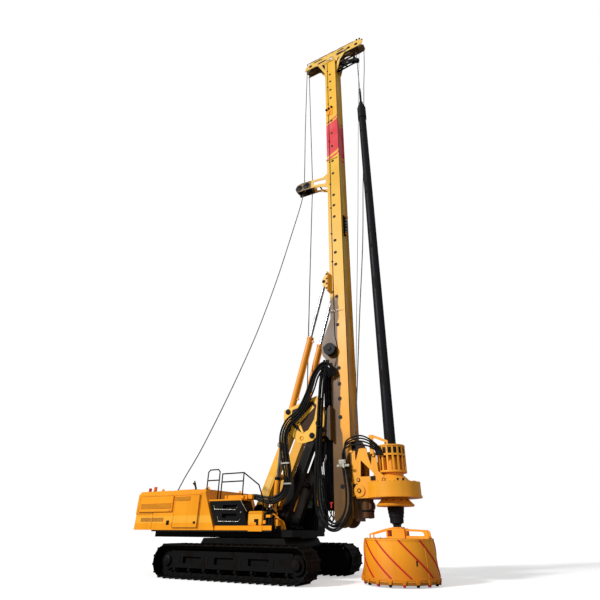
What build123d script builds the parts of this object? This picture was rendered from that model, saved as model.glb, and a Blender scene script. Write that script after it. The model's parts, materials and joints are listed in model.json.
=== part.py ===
"""Rotary piling rig on tracks, in millimetres.

+X is the machine's front, +Y its left (cab) side and +Z up. The origin is on the ground, under the
middle of the whole machine's length. Unless a note says otherwise, every x below is measured from the
slewing axis, which the helper planes put in its place.
"""
import math
import os
from build123d import *

# Clearances
pin_gap = 0.3          # between a pin and the eye that turns on it
seat_gap = 0.3         # between a piece and what it rests on or runs against
swing_gap = 12.0       # beside an arm that swings between two plates

# Tracks
track_length = 5925.0
track_width = 4234.0   # over both tracks
track_height = 990.0   # to the grousers' tips
shoe_width = 857.0
shoe_count = 50
shoe_plate = 26.0
grouser_height = 34.0
chain_depth = 95.0
chain_width = 230.0
frame_width = 420.0    # of the box that carries the rollers
roller_radius = 95.0
roller_count = 8

# Lower frame and slewing ring
ring_radius = 690.0
ring_bottom = 1000.0
deck_bottom = 1150.0   # underside of the upper frame
deck_top = 1380.0
sill_top = 1510.0      # top of the side walkways

# Upper structure
tail_x = -4824.0
half_width = 1500.0
hood_top = 2677.0
hood_chamfer = 120.0
hood_panel = 40.0
hood_front_top = -1590.0
hood_front_bottom = -1000.0
ballast_top = 1900.0
ballast_front = -3900.0
bay_front = -3640.0    # the open bay of the main winch ends here
bay_half = 520.0
door_proud = 6.0       # gap behind an overlaid door
door_thick = 36.0

# Cab
cab_rear = -250.0
cab_front = 1770.0
cab_left = half_width + 300.0
cab_right = cab_left - 885.0
cab_top = 3310.0
cab_wall = 60.0

# Linkage pins, as x and height; the boom and the link are parallel and of one length
boom_foot = (190.0, 2000.0)
boom_reach = (1160.0, 2650.0)
link_foot = (1160.0, 1700.0)
luff_foot = (930.0, 1850.0)
luff_share = 0.79      # where the luffing cylinder meets the boom
backstay_foot = (1300.0, 5300.0)
mast_pin = (2600.0, 4760.0)
backstay_head = (2830.0, 10730.0)

# Lanes across the machine, as distances from its middle
bar_in, bar_out = 330.0, 600.0        # boom, link and mast ears
cheek_in, cheek_out = 612.0, 642.0    # carrier plates and deck brackets
luff_lane = 755.0
outer_in, outer_out = 868.0, 896.0
backstay_lane = 450.0
pin_radius = 50.0

# Mast
mast_front = 3648.0
mast_depth = 633.0
mast_width = 750.0
rail_out = 419.0       # outer edge of the guide rails, from the middle
mast_foot = 1700.0
mast_top = 26600.0
mast_wall = 14.0
mast_joints = (9300.0, 18150.0)
rail_depth = 50.0
rail_width = 84.0

# Kelly, drive and bucket
kelly_x = 4980.0
kelly_radius = 191.0
kelly_bottom = 2090.0
kelly_top = 20670.0
drive_low = 2287.0
drive_high = 2732.0
cage_low = 3030.0
cage_high = 3880.0
bucket_top = 1177.0
bucket_top_radius = 1044.0
bucket_low_radius = 1108.0
bucket_floor = 130.0

# Head
head_rise = 700.0      # sheave pins above the mast's top
sheave_radius = 410.0
rear_sheave = (1950.0, mast_top + head_rise)
main_sheave = (4570.0, mast_top + head_rise)
aux_sheave = (5050.0, mast_top + head_rise)
guide_z = 17100.0
mid_sheaves = ((1300.0, guide_z), (1730.0, guide_z))
mid_sheave_radius = 220.0

# Winches
main_winch = (-4320.0, 2330.0)
main_drum_radius = 300.0
main_flange_radius = 400.0
aux_winch = (1960.0, 4960.0)
aux_drum_radius = 250.0
aux_flange_radius = 310.0

# The slewing axis stands this far from the middle of the machine's length
slew_x = -(kelly_x + bucket_low_radius + tail_x) / 2

boom_head = (boom_foot[0] + boom_reach[0], boom_foot[1] + boom_reach[1])
link_head = (link_foot[0] + boom_reach[0], link_foot[1] + boom_reach[1])
track_y = (track_width - shoe_width) / 2
mast_rear = mast_front - mast_depth
luff_head = (boom_foot[0] + luff_share * boom_reach[0], boom_foot[1] + luff_share * boom_reach[1])

os.makedirs("parts", exist_ok=True)


def side(y=0.0):
    """Upright plane along the machine: sketch x is x, sketch y is height, its normal is -Y."""
    return Plane(origin=(slew_x, y, 0), x_dir=(1, 0, 0), z_dir=(0, -1, 0))


def deck(z=0.0):
    """Level plane at a height: sketch x is x, sketch y is y."""
    return Plane(origin=(slew_x, 0, z))


def across(x=0.0):
    """Upright plane across the machine: sketch x is y, sketch y is height, its normal is +X."""
    return Plane(origin=(slew_x + x, 0, 0), x_dir=(0, 1, 0), z_dir=(1, 0, 0))


def block(x, y, z):
    """Box between the low and high values of x, y and z."""
    with BuildPart(mode=Mode.PRIVATE) as made:
        with BuildSketch(deck(z[0])):
            with Locations(((x[0] + x[1]) / 2, (y[0] + y[1]) / 2)):
                Rectangle(x[1] - x[0], y[1] - y[0])
        extrude(amount=z[1] - z[0])
    return made.part


def disc(at, y, radius, bore=0.0):
    """Round piece about a crosswise pin at (x, height), between two values of y, with a bore."""
    with BuildPart(mode=Mode.PRIVATE) as made:
        with BuildSketch(side(y[1])):
            with Locations(at):
                Circle(radius)
                if bore:
                    Circle(bore, mode=Mode.SUBTRACT)
        extrude(amount=y[1] - y[0])
    return made.part


def pair(maker, at, lane, *sizes):
    """The same round piece on both sides of the machine, its lane given as distances from the middle."""
    return [maker(at, lane, *sizes), maker(at, (-lane[1], -lane[0]), *sizes)]


def plate(points, y, holes=()):
    """Upright plate along the machine between two values of y, with holes given as (x, height, radius)."""
    with BuildPart(mode=Mode.PRIVATE) as made:
        with BuildSketch(side(y[1])):
            Polygon(*points)
            for x, z, radius in holes:
                with Locations((x, z)):
                    Circle(radius, mode=Mode.SUBTRACT)
        extrude(amount=y[1] - y[0])
    return made.part


def bar(start, end, radius, bore=0.0):
    """Round bar or tube between two points (x, y, height)."""
    begin = Vector(start[0] + slew_x, start[1], start[2])
    along = Vector(end[0] + slew_x, end[1], end[2]) - begin
    with BuildPart(mode=Mode.PRIVATE) as made:
        with BuildSketch(Plane(origin=begin, z_dir=along)):
            Circle(radius)
            if bore:
                Circle(bore, mode=Mode.SUBTRACT)
        extrude(amount=along.length)
    return made.part


def strap(start, end, lane, half, bore):
    """Flat bar with round ends and two pin holes, from one pin to another, between two values of y."""
    middle = ((start[0] + end[0]) / 2, (start[1] + end[1]) / 2)
    run = math.dist(start, end)
    slope = math.degrees(math.atan2(end[1] - start[1], end[0] - start[0]))
    with BuildPart(mode=Mode.PRIVATE) as made:
        with BuildSketch(side(lane[1])):
            with Locations(Location((middle[0], middle[1], 0), slope)):
                SlotCenterToCenter(run, 2 * half)
            with Locations(start, end):
                Circle(bore, mode=Mode.SUBTRACT)
        extrude(amount=lane[1] - lane[0])
    return made.part


def point_between(start, end, share):
    """Point a share of the way from one (x, height) to another."""
    return (start[0] + (end[0] - start[0]) * share, start[1] + (end[1] - start[1]) * share)


def save(builder, name):
    """Writes one finished piece under its name."""
    builder.part.label = name
    export_step(builder.part, f"parts/{name}.step")


# Track loops: the outline carries one grouser on every shoe
loop_radius = track_height / 2
loop_half = track_length / 2 - loop_radius
loop_run = 4 * loop_half + 2 * math.pi * loop_radius
# Share of the shoe's pitch, share of the height
tooth_shape = ((0.30, 0.0), (0.38, 1.0), (0.52, 1.0), (0.60, 0.0))


def on_loop(s, inset):
    """Point a distance s along the loop from the rear end of its bottom run, some way inside the tips."""
    reach = loop_radius - inset
    arc = math.pi * loop_radius
    s = s % loop_run
    if s < 2 * loop_half:
        return (-loop_half + s, loop_radius - reach)
    s -= 2 * loop_half
    if s < arc:
        turn = s / loop_radius
        return (loop_half + reach * math.sin(turn), loop_radius - reach * math.cos(turn))
    s -= arc
    if s < 2 * loop_half:
        return (loop_half - s, loop_radius + reach)
    turn = (s - 2 * loop_half) / loop_radius
    return (-loop_half - reach * math.sin(turn), loop_radius + reach * math.cos(turn))


pitch = loop_run / shoe_count
loop_outline = [on_loop((shoe + share) * pitch, grouser_height * (1 - height))
                for shoe in range(shoe_count) for share, height in tooth_shape]
plate_inset = grouser_height + shoe_plate
chain_inset = plate_inset + chain_depth

for hand, sign in (("right", -1), ("left", 1)):
    middle_y = sign * track_y
    with BuildPart() as track_loop:
        with BuildSketch(side(middle_y + shoe_width / 2)):
            Polygon(*loop_outline)
            with Locations((0, loop_radius)):
                SlotOverall(track_length - 2 * plate_inset, track_height - 2 * plate_inset,
                            mode=Mode.SUBTRACT)
        extrude(amount=shoe_width)
        with BuildSketch(side(middle_y + chain_width / 2)):
            with Locations((0, loop_radius)):
                SlotOverall(track_length - 2 * plate_inset + 4, track_height - 2 * plate_inset + 4)
                SlotOverall(track_length - 2 * chain_inset, track_height - 2 * chain_inset,
                            mode=Mode.SUBTRACT)
        extrude(amount=chain_width)
    save(track_loop, f"track_loop_{hand}")

    inner_reach = loop_radius - chain_inset - seat_gap
    floor_z = loop_radius - inner_reach
    frame_low = floor_z + 2 * roller_radius - 40
    frame_high = track_height - floor_z - 60
    frame_lane = (middle_y - frame_width / 2, middle_y + frame_width / 2)
    wheel_lane = (middle_y - chain_width / 2, middle_y + chain_width / 2)
    with BuildPart() as track_frame:
        add(block((-loop_half + 120, loop_half - 120), frame_lane, (frame_low, frame_high)))
        for cut_side in (-1, 1):
            with BuildSketch(side(middle_y + cut_side * frame_width / 2)):
                with Locations((-1450, 520), (-150, 520), (1150, 520)):
                    RectangleRounded(760, 200, 40)
            extrude(amount=90 * cut_side, mode=Mode.SUBTRACT)
        for step in range(roller_count):
            x = -loop_half + 320 + step * (2 * loop_half - 640) / (roller_count - 1)
            add(disc((x, floor_z + roller_radius), wheel_lane, roller_radius))
            add(disc((x, floor_z + roller_radius), frame_lane, 42))
        for x in (-900, 900):
            add(disc((x, track_height - floor_z - 70), wheel_lane, 70))
        for x in (-loop_half, loop_half):
            add(disc((x, loop_radius), wheel_lane, inner_reach))
            add(disc((x, loop_radius), (middle_y - 190, middle_y + 190), inner_reach - 90))
            add(disc((x, loop_radius), (middle_y - 260, middle_y + 260), 120))
            add(block((min(x, x * 0.9), max(x, x * 0.9)), frame_lane, (360, 640)))
    save(track_frame, f"track_frame_{hand}")

# Lower frame between the tracks, with two cross beams and the slewing ring's seat
beam_x = 820.0
inner_face = track_y - frame_width / 2
with BuildPart() as car_body:
    with BuildSketch(deck(430)):
        Rectangle(2300, 1500)
    extrude(amount=430)
    chamfer(car_body.edges().filter_by(Axis.Z), 220)
    for x in (-beam_x, beam_x):
        add(block((x - 240, x + 240), (-inner_face, inner_face), (470, 760)))
    with BuildSketch(deck(860)):
        Circle(ring_radius + 60)
    extrude(amount=ring_bottom - 860)
save(car_body, "car_body")

with BuildPart() as slew_ring:
    with BuildSketch(deck(ring_bottom)):
        Circle(ring_radius)
        Circle(ring_radius - 160, mode=Mode.SUBTRACT)
    extrude(amount=deck_bottom - ring_bottom - seat_gap)
save(slew_ring, "slew_ring")

# Upper frame: long beams, side walkways and the brackets of the boom, link and luffing cylinders
beam_half = 600.0
front_edge = 1900.0
walk_front = 1320.0
inner_lane = (bar_in - swing_gap - 28, bar_in - swing_gap)
bracket_outline = ((-60, deck_top), (20, 2080), (120, 2170), (280, 2170), (640, 1980), (1010, 1990),
                   (1120, 1860), (1290, 1760), (1330, 1600), (1330, deck_top))
outer_outline = ((700, deck_top), (780, 1900), (860, 1970), (1000, 1970), (1080, 1900), (1160, deck_top))
with BuildPart() as deck_frame:
    add(block((tail_x + 260, front_edge), (-beam_half, beam_half), (deck_bottom, deck_top)))
    add(block((-1650, front_edge), (-1180, 1180), (deck_bottom + 40, deck_top)))
    for y, front_x in (((-half_width, -outer_out - 4), walk_front), ((outer_out + 4, half_width), cab_front)):
        add(block((tail_x + 950, front_x), y, (deck_top - 50, deck_top)))
        add(block((hood_front_bottom + 40, front_x), y, (deck_top, sill_top)))
    for low, high in (inner_lane, (cheek_in, cheek_out)):
        for lane in ((low, high), (-high, -low)):
            add(plate(bracket_outline, lane))
    for lane in ((outer_in, outer_out), (-outer_out, -outer_in)):
        add(plate(outer_outline, lane))
    for at in (boom_foot, link_foot):
        add(pair(disc, at, (inner_lane[0], cheek_out), pin_radius))
    add(pair(disc, luff_foot, (cheek_in, outer_out), pin_radius))
    add(block((400, 920), (-half_width - 8, -1100), (sill_top - 170, sill_top)))
    # Post in front of the cab that carries the hoses up
    add(block((front_edge - 68, front_edge - 18), (680, 760), (deck_top - 10, 4250)))
    add(block((front_edge - 118, front_edge - 4), (650, 790), (deck_top - 10, deck_top + 20)))
save(deck_frame, "deck_frame")

# Valves on the right walkway: x, y, width along x, width along y, height
valve_rows = ((1010, -1330, 100, 180, 330), (1010, -1080, 120, 160, 470), (1160, -1340, 90, 140, 210),
              (1170, -1120, 110, 220, 260), (1260, -1280, 60, 260, 160))
with BuildPart() as valve_bank:
    add(block((950, 1310), (-1440, -960), (sill_top, sill_top + 40)))
    for x, y, along, wide, high in valve_rows:
        add(block((x - along / 2, x + along / 2), (y - wide / 2, y + wide / 2),
                  (sill_top + 40, sill_top + 40 + high)))
    for x, y in ((1010, -1330), (1160, -1340), (1170, -1180)):
        add(bar((x, y, sill_top + 100), (x, y, sill_top + 470), 32))
save(valve_bank, "valve_bank")

with BuildPart() as counterweight:
    with BuildSketch(deck(deck_top)):
        with Locations(((tail_x + ballast_front) / 2, 0)):
            RectangleRounded(ballast_front - tail_x, 2 * half_width, 60)
    extrude(amount=ballast_top - deck_top)
save(counterweight, "counterweight")


def hood_section(inset):
    """Outline across the hood: chamfered roof, walls a distance inside the outer face."""
    wide = half_width - inset
    high = hood_top - inset
    cut = hood_chamfer - 0.41 * inset
    return ((-wide, deck_top), (-wide, high - cut), (-wide + cut, high), (wide - cut, high),
            (wide, high - cut), (wide, deck_top))


# Doors of the hood: name, hinge x, far edge x, lowest and highest point
hood_doors = (("rear", -4700.0, -2980.0, 1960.0, 2500.0), ("mid", -2910.0, -1740.0, 1450.0, 2500.0))
door_margin = 70.0
with BuildPart() as cavity:
    with BuildSketch(side(half_width - hood_panel)):
        Polygon((bay_front + hood_panel, deck_top), (bay_front + hood_panel, hood_top),
                (hood_front_top - 45, hood_top), (hood_front_bottom - 45, deck_top))
    extrude(amount=2 * (half_width - hood_panel))
    with BuildSketch(across(tail_x)):
        Polygon(*hood_section(hood_panel))
    extrude(amount=hood_front_bottom - tail_x, mode=Mode.INTERSECT)
with BuildPart() as engine_hood:
    with BuildSketch(across(tail_x)):
        Polygon(*hood_section(0))
    extrude(amount=hood_front_bottom - tail_x)
    with BuildSketch(side(half_width + 10)):
        Polygon((hood_front_top, hood_top + 10), (hood_front_bottom, deck_top - 10),
                (hood_front_bottom + 100, deck_top - 10), (hood_front_bottom + 100, hood_top + 10))
    extrude(amount=2 * half_width + 20, mode=Mode.SUBTRACT)
    add(block((tail_x - 10, bay_front), (-bay_half, bay_half), (deck_top - 10, hood_top + 10)),
        mode=Mode.SUBTRACT)
    add(block((tail_x - 10, ballast_front), (-half_width, half_width), (deck_top, ballast_top)),
        mode=Mode.SUBTRACT)
    add(cavity.part, mode=Mode.SUBTRACT)
    for y in ((-half_width + hood_panel, -bay_half - hood_panel),
              (bay_half + hood_panel, half_width - hood_panel)):
        add(block((tail_x + hood_panel, bay_front + 10 + hood_panel), y,
                  (ballast_top + hood_panel, hood_top - hood_chamfer - 10)), mode=Mode.SUBTRACT)
        add(block((ballast_front + 2 * hood_panel, bay_front + 10 + hood_panel), y,
                  (deck_top - 10, ballast_top + hood_panel)), mode=Mode.SUBTRACT)
    for name, hinge_x, edge_x, low_z, high_z in hood_doors:
        for y in ((-half_width - 10, -half_width + hood_panel + 10),
                  (half_width - hood_panel - 10, half_width + 10)):
            add(block((hinge_x + door_margin, edge_x - door_margin), y,
                      (low_z + door_margin, high_z - door_margin)), mode=Mode.SUBTRACT)
    with BuildSketch(deck(hood_top)):
        with Locations((-3100, 0)):
            RectangleRounded(840, 1700, 60)
    extrude(amount=75, taper=25)
    for y in (-700, 700):
        with BuildSketch(deck(hood_top)):
            with Locations((-2300, y)):
                RectangleRounded(420, 700, 40)
        extrude(amount=28)
save(engine_hood, "engine_hood")

# Louvres on the doors: door, from x, to x, lowest slat, number of slats
louvres = (("rear", -4570.0, -3830.0, 2080.0, 5), ("rear", -3790.0, -3050.0, 2080.0, 5),
           ("mid", -2830.0, -2170.0, 2320.0, 4))
louvre_pitch = 38.0
louvre_height = 22.0
louvre_proud = 14.0

# Overlaid doors, hinged at their rear edges on pins that stand off the wall
hinge_off = 24.0
hinge_radius = 11.0
knuckle_radius = 20.0
knuckle_height = 90.0
hinge_sets = []
for hand, sign in (("right", -1), ("left", 1)):
    with BuildPart() as hinge_pins:
        for name, hinge_x, edge_x, low_z, high_z in hood_doors:
            for z in (low_z + 110, high_z - 110):
                pin_y = sign * (half_width + hinge_off)
                with BuildSketch(deck(z - knuckle_height / 2 - 30)):
                    with Locations((hinge_x, pin_y)):
                        Circle(hinge_radius)
                extrude(amount=knuckle_height + 60)
                for foot in (z - knuckle_height / 2 - 30, z + knuckle_height / 2 + 1):
                    reach = sorted((sign * half_width, pin_y + sign * 12))
                    add(block((hinge_x - 16, hinge_x + 16), reach, (foot, foot + 29)))
    hinge_sets.append(hinge_pins.part)
    for name, hinge_x, edge_x, low_z, high_z in hood_doors:
        near = half_width + door_proud
        with BuildPart() as hood_door:
            add(block((hinge_x + 30, edge_x), sorted((sign * near, sign * (near + door_thick))),
                      (low_z, high_z)))
            for z in (low_z + 110, high_z - 110):
                pin_y = sign * (half_width + hinge_off)
                add(block((hinge_x, hinge_x + 32), (pin_y - 12, pin_y + 12),
                          (z - knuckle_height / 2, z + knuckle_height / 2)))
                with BuildSketch(deck(z - knuckle_height / 2)):
                    with Locations((hinge_x, pin_y)):
                        Circle(knuckle_radius)
                extrude(amount=knuckle_height)
                with BuildSketch(deck(z - knuckle_height / 2)):
                    with Locations((hinge_x, pin_y)):
                        Circle(hinge_radius + pin_gap)
                extrude(amount=knuckle_height, mode=Mode.SUBTRACT)
            for door, from_x, to_x, low, count in louvres:
                if door == name:
                    for step in range(count):
                        slat_z = low + step * louvre_pitch
                        slat_y = sorted((sign * (near + door_thick),
                                         sign * (near + door_thick + louvre_proud)))
                        add(block((from_x, to_x), slat_y, (slat_z, slat_z + louvre_height)))
        save(hood_door, f"hood_door_{name}_{hand}")

# Lamps on the roof: x, radius, height
with BuildPart() as roof_lamps:
    for x, radius, high in ((-4540, 55, 130), (-4270, 62, 170)):
        with BuildSketch(deck(hood_top)):
            with Locations((x, -1250)):
                Circle(radius)
        extrude(amount=high)
save(roof_lamps, "roof_lamps")

with BuildPart() as engine:
    add(block((-3300, -2100), (-480, 480), (deck_top, 2300)))
save(engine, "engine")

# Main winch in the open bay at the tail
with BuildPart() as winch_frame:
    outline = ((-4690, ballast_top), (-4690, 2250), (-4450, 2490), (-4190, 2490), (-3960, 2250),
               (-3960, ballast_top))
    for lane in ((466, 500), (-500, -466)):
        add(plate(outline, lane, ((*main_winch, 60 + pin_gap),)))
    add(block((-3990, -3930), (-500, 500), (ballast_top, 2000)))
save(winch_frame, "main_winch_frame")


def drum(at, half_lane, flange_radius, drum_radius, shaft_radius, shaft_half, bore=0.0):
    """Winch drum about a crosswise shaft: two flanges, a barrel and its shaft."""
    with BuildPart(mode=Mode.PRIVATE) as made:
        add(disc(at, (-half_lane, half_lane), drum_radius))
        for lane in ((half_lane - 30, half_lane), (-half_lane, 30 - half_lane)):
            add(disc(at, lane, flange_radius))
        if shaft_half:
            add(disc(at, (-shaft_half, shaft_half), shaft_radius))
        if bore:
            add(disc(at, (-half_lane - 5, half_lane + 5), bore), mode=Mode.SUBTRACT)
    return made.part


with BuildPart() as main_drum:
    add(drum(main_winch, 440, main_flange_radius, main_drum_radius, 60, 510))
save(main_drum, "main_winch_drum")

# Cab: hollow shell with its windows cut, glass panes inside the walls and a seat
side_window = (cab_rear + 250, cab_front - 220)
window_z = (2080.0, 3170.0)
front_z = (1700.0, 3170.0)
door_x = (cab_front - 130 - 900, cab_front - 130)
with BuildPart() as cab_shell:
    with BuildSketch(side(cab_left)):
        Polygon((cab_rear, sill_top), (cab_rear, cab_top), (cab_front - 120, cab_top), (cab_front, 2500),
                (cab_front, sill_top))
    extrude(amount=cab_left - cab_right)
    fillet(cab_shell.edges().filter_by(Axis.X).group_by(Axis.Z)[-1], 70)
    with BuildSketch(side(cab_left - cab_wall)):
        Polygon((cab_rear + cab_wall, sill_top + 70), (cab_rear + cab_wall, cab_top - 70),
                (cab_front - 170, cab_top - 70), (cab_front - cab_wall, 2480),
                (cab_front - cab_wall, sill_top + 70))
    extrude(amount=cab_left - cab_right - 2 * cab_wall, mode=Mode.SUBTRACT)
    add(block(side_window, (cab_right - 10, cab_right + cab_wall + 10), window_z), mode=Mode.SUBTRACT)
    add(block((door_x[0] + 60, door_x[1] - 60), (cab_left - cab_wall - 10, cab_left + 10),
              (sill_top + 90, window_z[1] - 40)), mode=Mode.SUBTRACT)
    for x in ((cab_rear - 10, cab_rear + cab_wall + 10), (cab_front - 260, cab_front + 10)):
        low = window_z[0] if x[0] < 0 else front_z[0]
        add(block(x, (cab_right + 110, cab_left - 110), (low, window_z[1])), mode=Mode.SUBTRACT)
save(cab_shell, "cab_shell")

glass = 8.0
with BuildPart() as cab_glass:
    y = cab_right + cab_wall + seat_gap
    add(block((side_window[0] - 30, side_window[1] + 20), (y, y + glass),
              (window_z[0] - 30, window_z[1] + 20)))
    x = cab_rear + cab_wall + seat_gap
    add(block((x, x + glass), (cab_right + 90, cab_left - 90), (window_z[0] - 30, window_z[1] + 20)))
    with BuildSketch(side(cab_left - 90)):
        Polygon((cab_front - cab_wall - seat_gap - glass, front_z[0] - 30),
                (cab_front - cab_wall - seat_gap, front_z[0] - 30),
                (cab_front - cab_wall - seat_gap, 2478), (cab_front - 166, 3190),
                (cab_front - 166 - glass, 3190),
                (cab_front - cab_wall - seat_gap - glass, 2476))
    extrude(amount=cab_left - cab_right - 180)
save(cab_glass, "cab_glass")

with BuildPart() as cab_seat:
    mid_y = (cab_right + cab_left) / 2
    floor = sill_top + 70
    add(block((350, 750), (mid_y - 150, mid_y + 150), (floor, floor + 300)))
    add(block((280, 820), (mid_y - 250, mid_y + 250), (floor + 300, floor + 430)))
    add(block((200, 320), (mid_y - 240, mid_y + 240), (floor + 300, floor + 1050)))
    for y in (mid_y - 330, mid_y + 270):
        add(block((360, 860), (y, y + 60), (floor + 300, floor + 560)))
        add(block((420, 560), (min(y, mid_y), max(y, mid_y)), (floor + 310, floor + 400)))
save(cab_seat, "cab_seat")

with BuildPart() as cab_door:
    near = cab_left + door_proud
    add(block((door_x[0] + 30, door_x[1]), (near, near + door_thick), (sill_top + 40, window_z[1] + 10)))
    add(block((door_x[0] + 120, door_x[1] - 90), (near - 5, near + door_thick + 5),
              (2100, window_z[1] - 70)), mode=Mode.SUBTRACT)
    for z in (1800, 2900):
        pin_y = cab_left + hinge_off
        add(block((door_x[0], door_x[0] + 32), (pin_y - 12, pin_y + 12),
                  (z - knuckle_height / 2, z + knuckle_height / 2)))
        with BuildSketch(deck(z - knuckle_height / 2)):
            with Locations((door_x[0], pin_y)):
                Circle(knuckle_radius)
        extrude(amount=knuckle_height)
        with BuildSketch(deck(z - knuckle_height / 2)):
            with Locations((door_x[0], pin_y)):
                Circle(hinge_radius + pin_gap)
        extrude(amount=knuckle_height, mode=Mode.SUBTRACT)
save(cab_door, "cab_door")

with BuildPart() as cab_hinges:
    for z in (1800, 2900):
        pin_y = cab_left + hinge_off
        with BuildSketch(deck(z - knuckle_height / 2 - 30)):
            with Locations((door_x[0], pin_y)):
                Circle(hinge_radius)
        extrude(amount=knuckle_height + 60)
        for foot in (z - knuckle_height / 2 - 30, z + knuckle_height / 2 + 1):
            add(block((door_x[0] - 16, door_x[0] + 16), (cab_left, pin_y + 12), (foot, foot + 29)))
hinge_sets.append(cab_hinges.part)
with BuildPart() as door_hinges:
    add(hinge_sets)
save(door_hinges, "door_hinges")

# Right side: step box, tool box and handrails
step_top = 2270.0
step_outline = ((-1290, step_top), (50, step_top), (370, sill_top), (-960, sill_top))
with BuildPart() as step_box:
    with BuildSketch(side(-900)):
        Polygon(*step_outline)
    extrude(amount=half_width - 900)
    for z in (1740, 2010):
        add(block((-700, -100), (-half_width - 5, -half_width + 120), (z, z + 130)), mode=Mode.SUBTRACT)
save(step_box, "step_box")

with BuildPart() as step_cover:
    with BuildSketch(side(-900)):
        Polygon((-1330, step_top), (-1330, step_top + 50), (80, step_top + 50), (80, step_top))
    extrude(amount=half_width - 900)
    add(block((-960, 30), (-1130, -900), (step_top + 50, step_top + 190)))
save(step_cover, "step_cover")

with BuildPart() as tool_box:
    with BuildSketch(side(-1000)):
        with Locations((660, 1720)):
            RectangleRounded(560, 420, 60)
    extrude(amount=half_width - 1000)
    chamfer(tool_box.faces().sort_by(Axis.Y)[0].edges(), 20)
save(tool_box, "tool_box")

rail_radius = 22.0
rail_y = -1350.0
rail_runs = (((-1620, 2677), (-1620, 3240)), ((-1620, 3240), (-1540, 3320)), ((-1540, 3320), (-1170, 3320)),
             ((-1170, 3320), (-1090, 3240)), ((-1090, 3240), (-1090, 2320)), ((-1620, 2960), (-1090, 2960)),
             ((-960, 2320), (-960, 3160)), ((-960, 3160), (-20, 3160)), ((-20, 3160), (-20, 2320)),
             ((-960, 2890), (-20, 2890)), ((-20, 3160), (640, 2740)), ((640, 2740), (860, 2260)),
             ((860, 2260), (860, 1930)))
with BuildPart() as handrails:
    for begin, end in rail_runs:
        add(bar((begin[0], rail_y, begin[1]), (end[0], rail_y, end[1]), rail_radius))
    for x, z in {corner for run in rail_runs for corner in run if corner[1] > 2680}:
        with Locations((slew_x + x, rail_y, z)):
            Sphere(rail_radius)
save(handrails, "handrails")

# Boom and link: a pair of bars each, joined by a cross tube
for name, foot, head, half in (("boom", boom_foot, boom_head, 175), ("link", link_foot, link_head, 150)):
    with BuildPart() as arm:
        for lane in ((bar_in, bar_out), (-bar_out, -bar_in)):
            add(strap(foot, head, lane, half, pin_radius + pin_gap))
        add(disc(point_between(foot, head, 0.42), (-bar_in, bar_in), 95))
        if name == "boom":
            add(pair(disc, luff_head, (bar_out, outer_in), pin_radius))
    save(arm, name)


def cylinder_barrels(foot, head, lane_y, share, radius, rod_radius, eye, width):
    """Two cylinder barrels: foot eye, hollow tube and gland, up to a share of the closed length."""
    top = point_between(foot, head, share)
    low = point_between(foot, head, eye / math.dist(foot, head))
    with BuildPart(mode=Mode.PRIVATE) as made:
        for y in (-lane_y, lane_y):
            add(disc(foot, (y - width / 2, y + width / 2), eye))
            add(bar((*point_between(foot, low, 0.6)[:1], y, point_between(foot, low, 0.6)[1]),
                    (top[0], y, top[1]), radius))
            begin = point_between(foot, top, 0.14)
            end = point_between(foot, top, 0.97)
            add(bar((begin[0], y, begin[1]), (end[0], y, end[1]), radius - 20), mode=Mode.SUBTRACT)
            begin = point_between(foot, top, 0.9)
            past = point_between(foot, top, 1.03)
            add(bar((begin[0], y, begin[1]), (past[0], y, past[1]), rod_radius + pin_gap), mode=Mode.SUBTRACT)
            add(disc(foot, (y - width / 2 - 5, y + width / 2 + 5), pin_radius + pin_gap), mode=Mode.SUBTRACT)
    return made.part


def cylinder_rods(foot, head, lane_y, begin_share, radius, rod_radius, eye, width, play):
    """Two piston rods with their pistons, and head eyes with some play on their pins."""
    start = point_between(foot, head, begin_share)
    past = point_between(foot, head, begin_share + 0.02)
    neck = point_between(foot, head, 1 - 0.6 * eye / math.dist(foot, head))
    with BuildPart(mode=Mode.PRIVATE) as made:
        for y in (-lane_y, lane_y):
            add(bar((start[0], y, start[1]), (neck[0], y, neck[1]), rod_radius))
            add(bar((start[0], y, start[1]), (past[0], y, past[1]), radius - 20 - pin_gap))
            add(disc(head, (y - width / 2, y + width / 2), eye))
            add(disc(head, (y - width / 2 - 5, y + width / 2 + 5), pin_radius + play), mode=Mode.SUBTRACT)
    return made.part


# Cylinders: name, foot, head, lane, barrel's share, barrel radius, rod radius, eye radius, eye width,
# rod's start, play
for name, foot, head, lane, share, radius, rod, eye, width, start, play in (
        ("luff", luff_foot, luff_head, luff_lane, 0.52, 92, 50, 100, 196, 0.36, 7.0),
        ("backstay", backstay_foot, backstay_head, backstay_lane, 0.55, 125, 65, 115, 160, 0.46, 19.0)):
    with BuildPart() as barrels:
        add(cylinder_barrels(foot, head, lane, share, radius, rod, eye, width))
    save(barrels, f"{name}_barrels")
    with BuildPart() as rods:
        add(cylinder_rods(foot, head, lane, start, radius, rod, eye, width, play))
    save(rods, f"{name}_rods")

# Carrier: two cheeks with the pins of boom, link, backstays and mast, and the axle of the auxiliary winch
cheek_outline = ((1120, 5370), (1110, 4900), (1200, 4500), (1470, 4430), (1760, 4120), (1960, 4110),
                 (2330, 4170),
                 (2520, 4330), (2790, 4640), (2830, 4960), (2700, 5600), (2500, 5770), (1560, 5500))
with BuildPart() as carrier:
    for lane in ((cheek_in, cheek_out), (-cheek_out, -cheek_in)):
        add(plate(cheek_outline, lane, ((1890, 4290, 60),)))
    for x, z, radius in ((1240, 4960, 70), (2330, 5430, 85)):
        add(disc((x, z), (-cheek_in, cheek_in), radius))
    add(disc(aux_winch, (-cheek_in, cheek_in), 50))
    for at, low in ((boom_head, bar_in - 15), (link_head, bar_in - 15), (mast_pin, bar_in - 5),
                    (backstay_foot, 350)):
        add(pair(disc, at, (low, cheek_in), pin_radius))
        add(pair(disc, at, (cheek_out, cheek_out + 22), pin_radius + 28))
save(carrier, "carrier")

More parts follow.
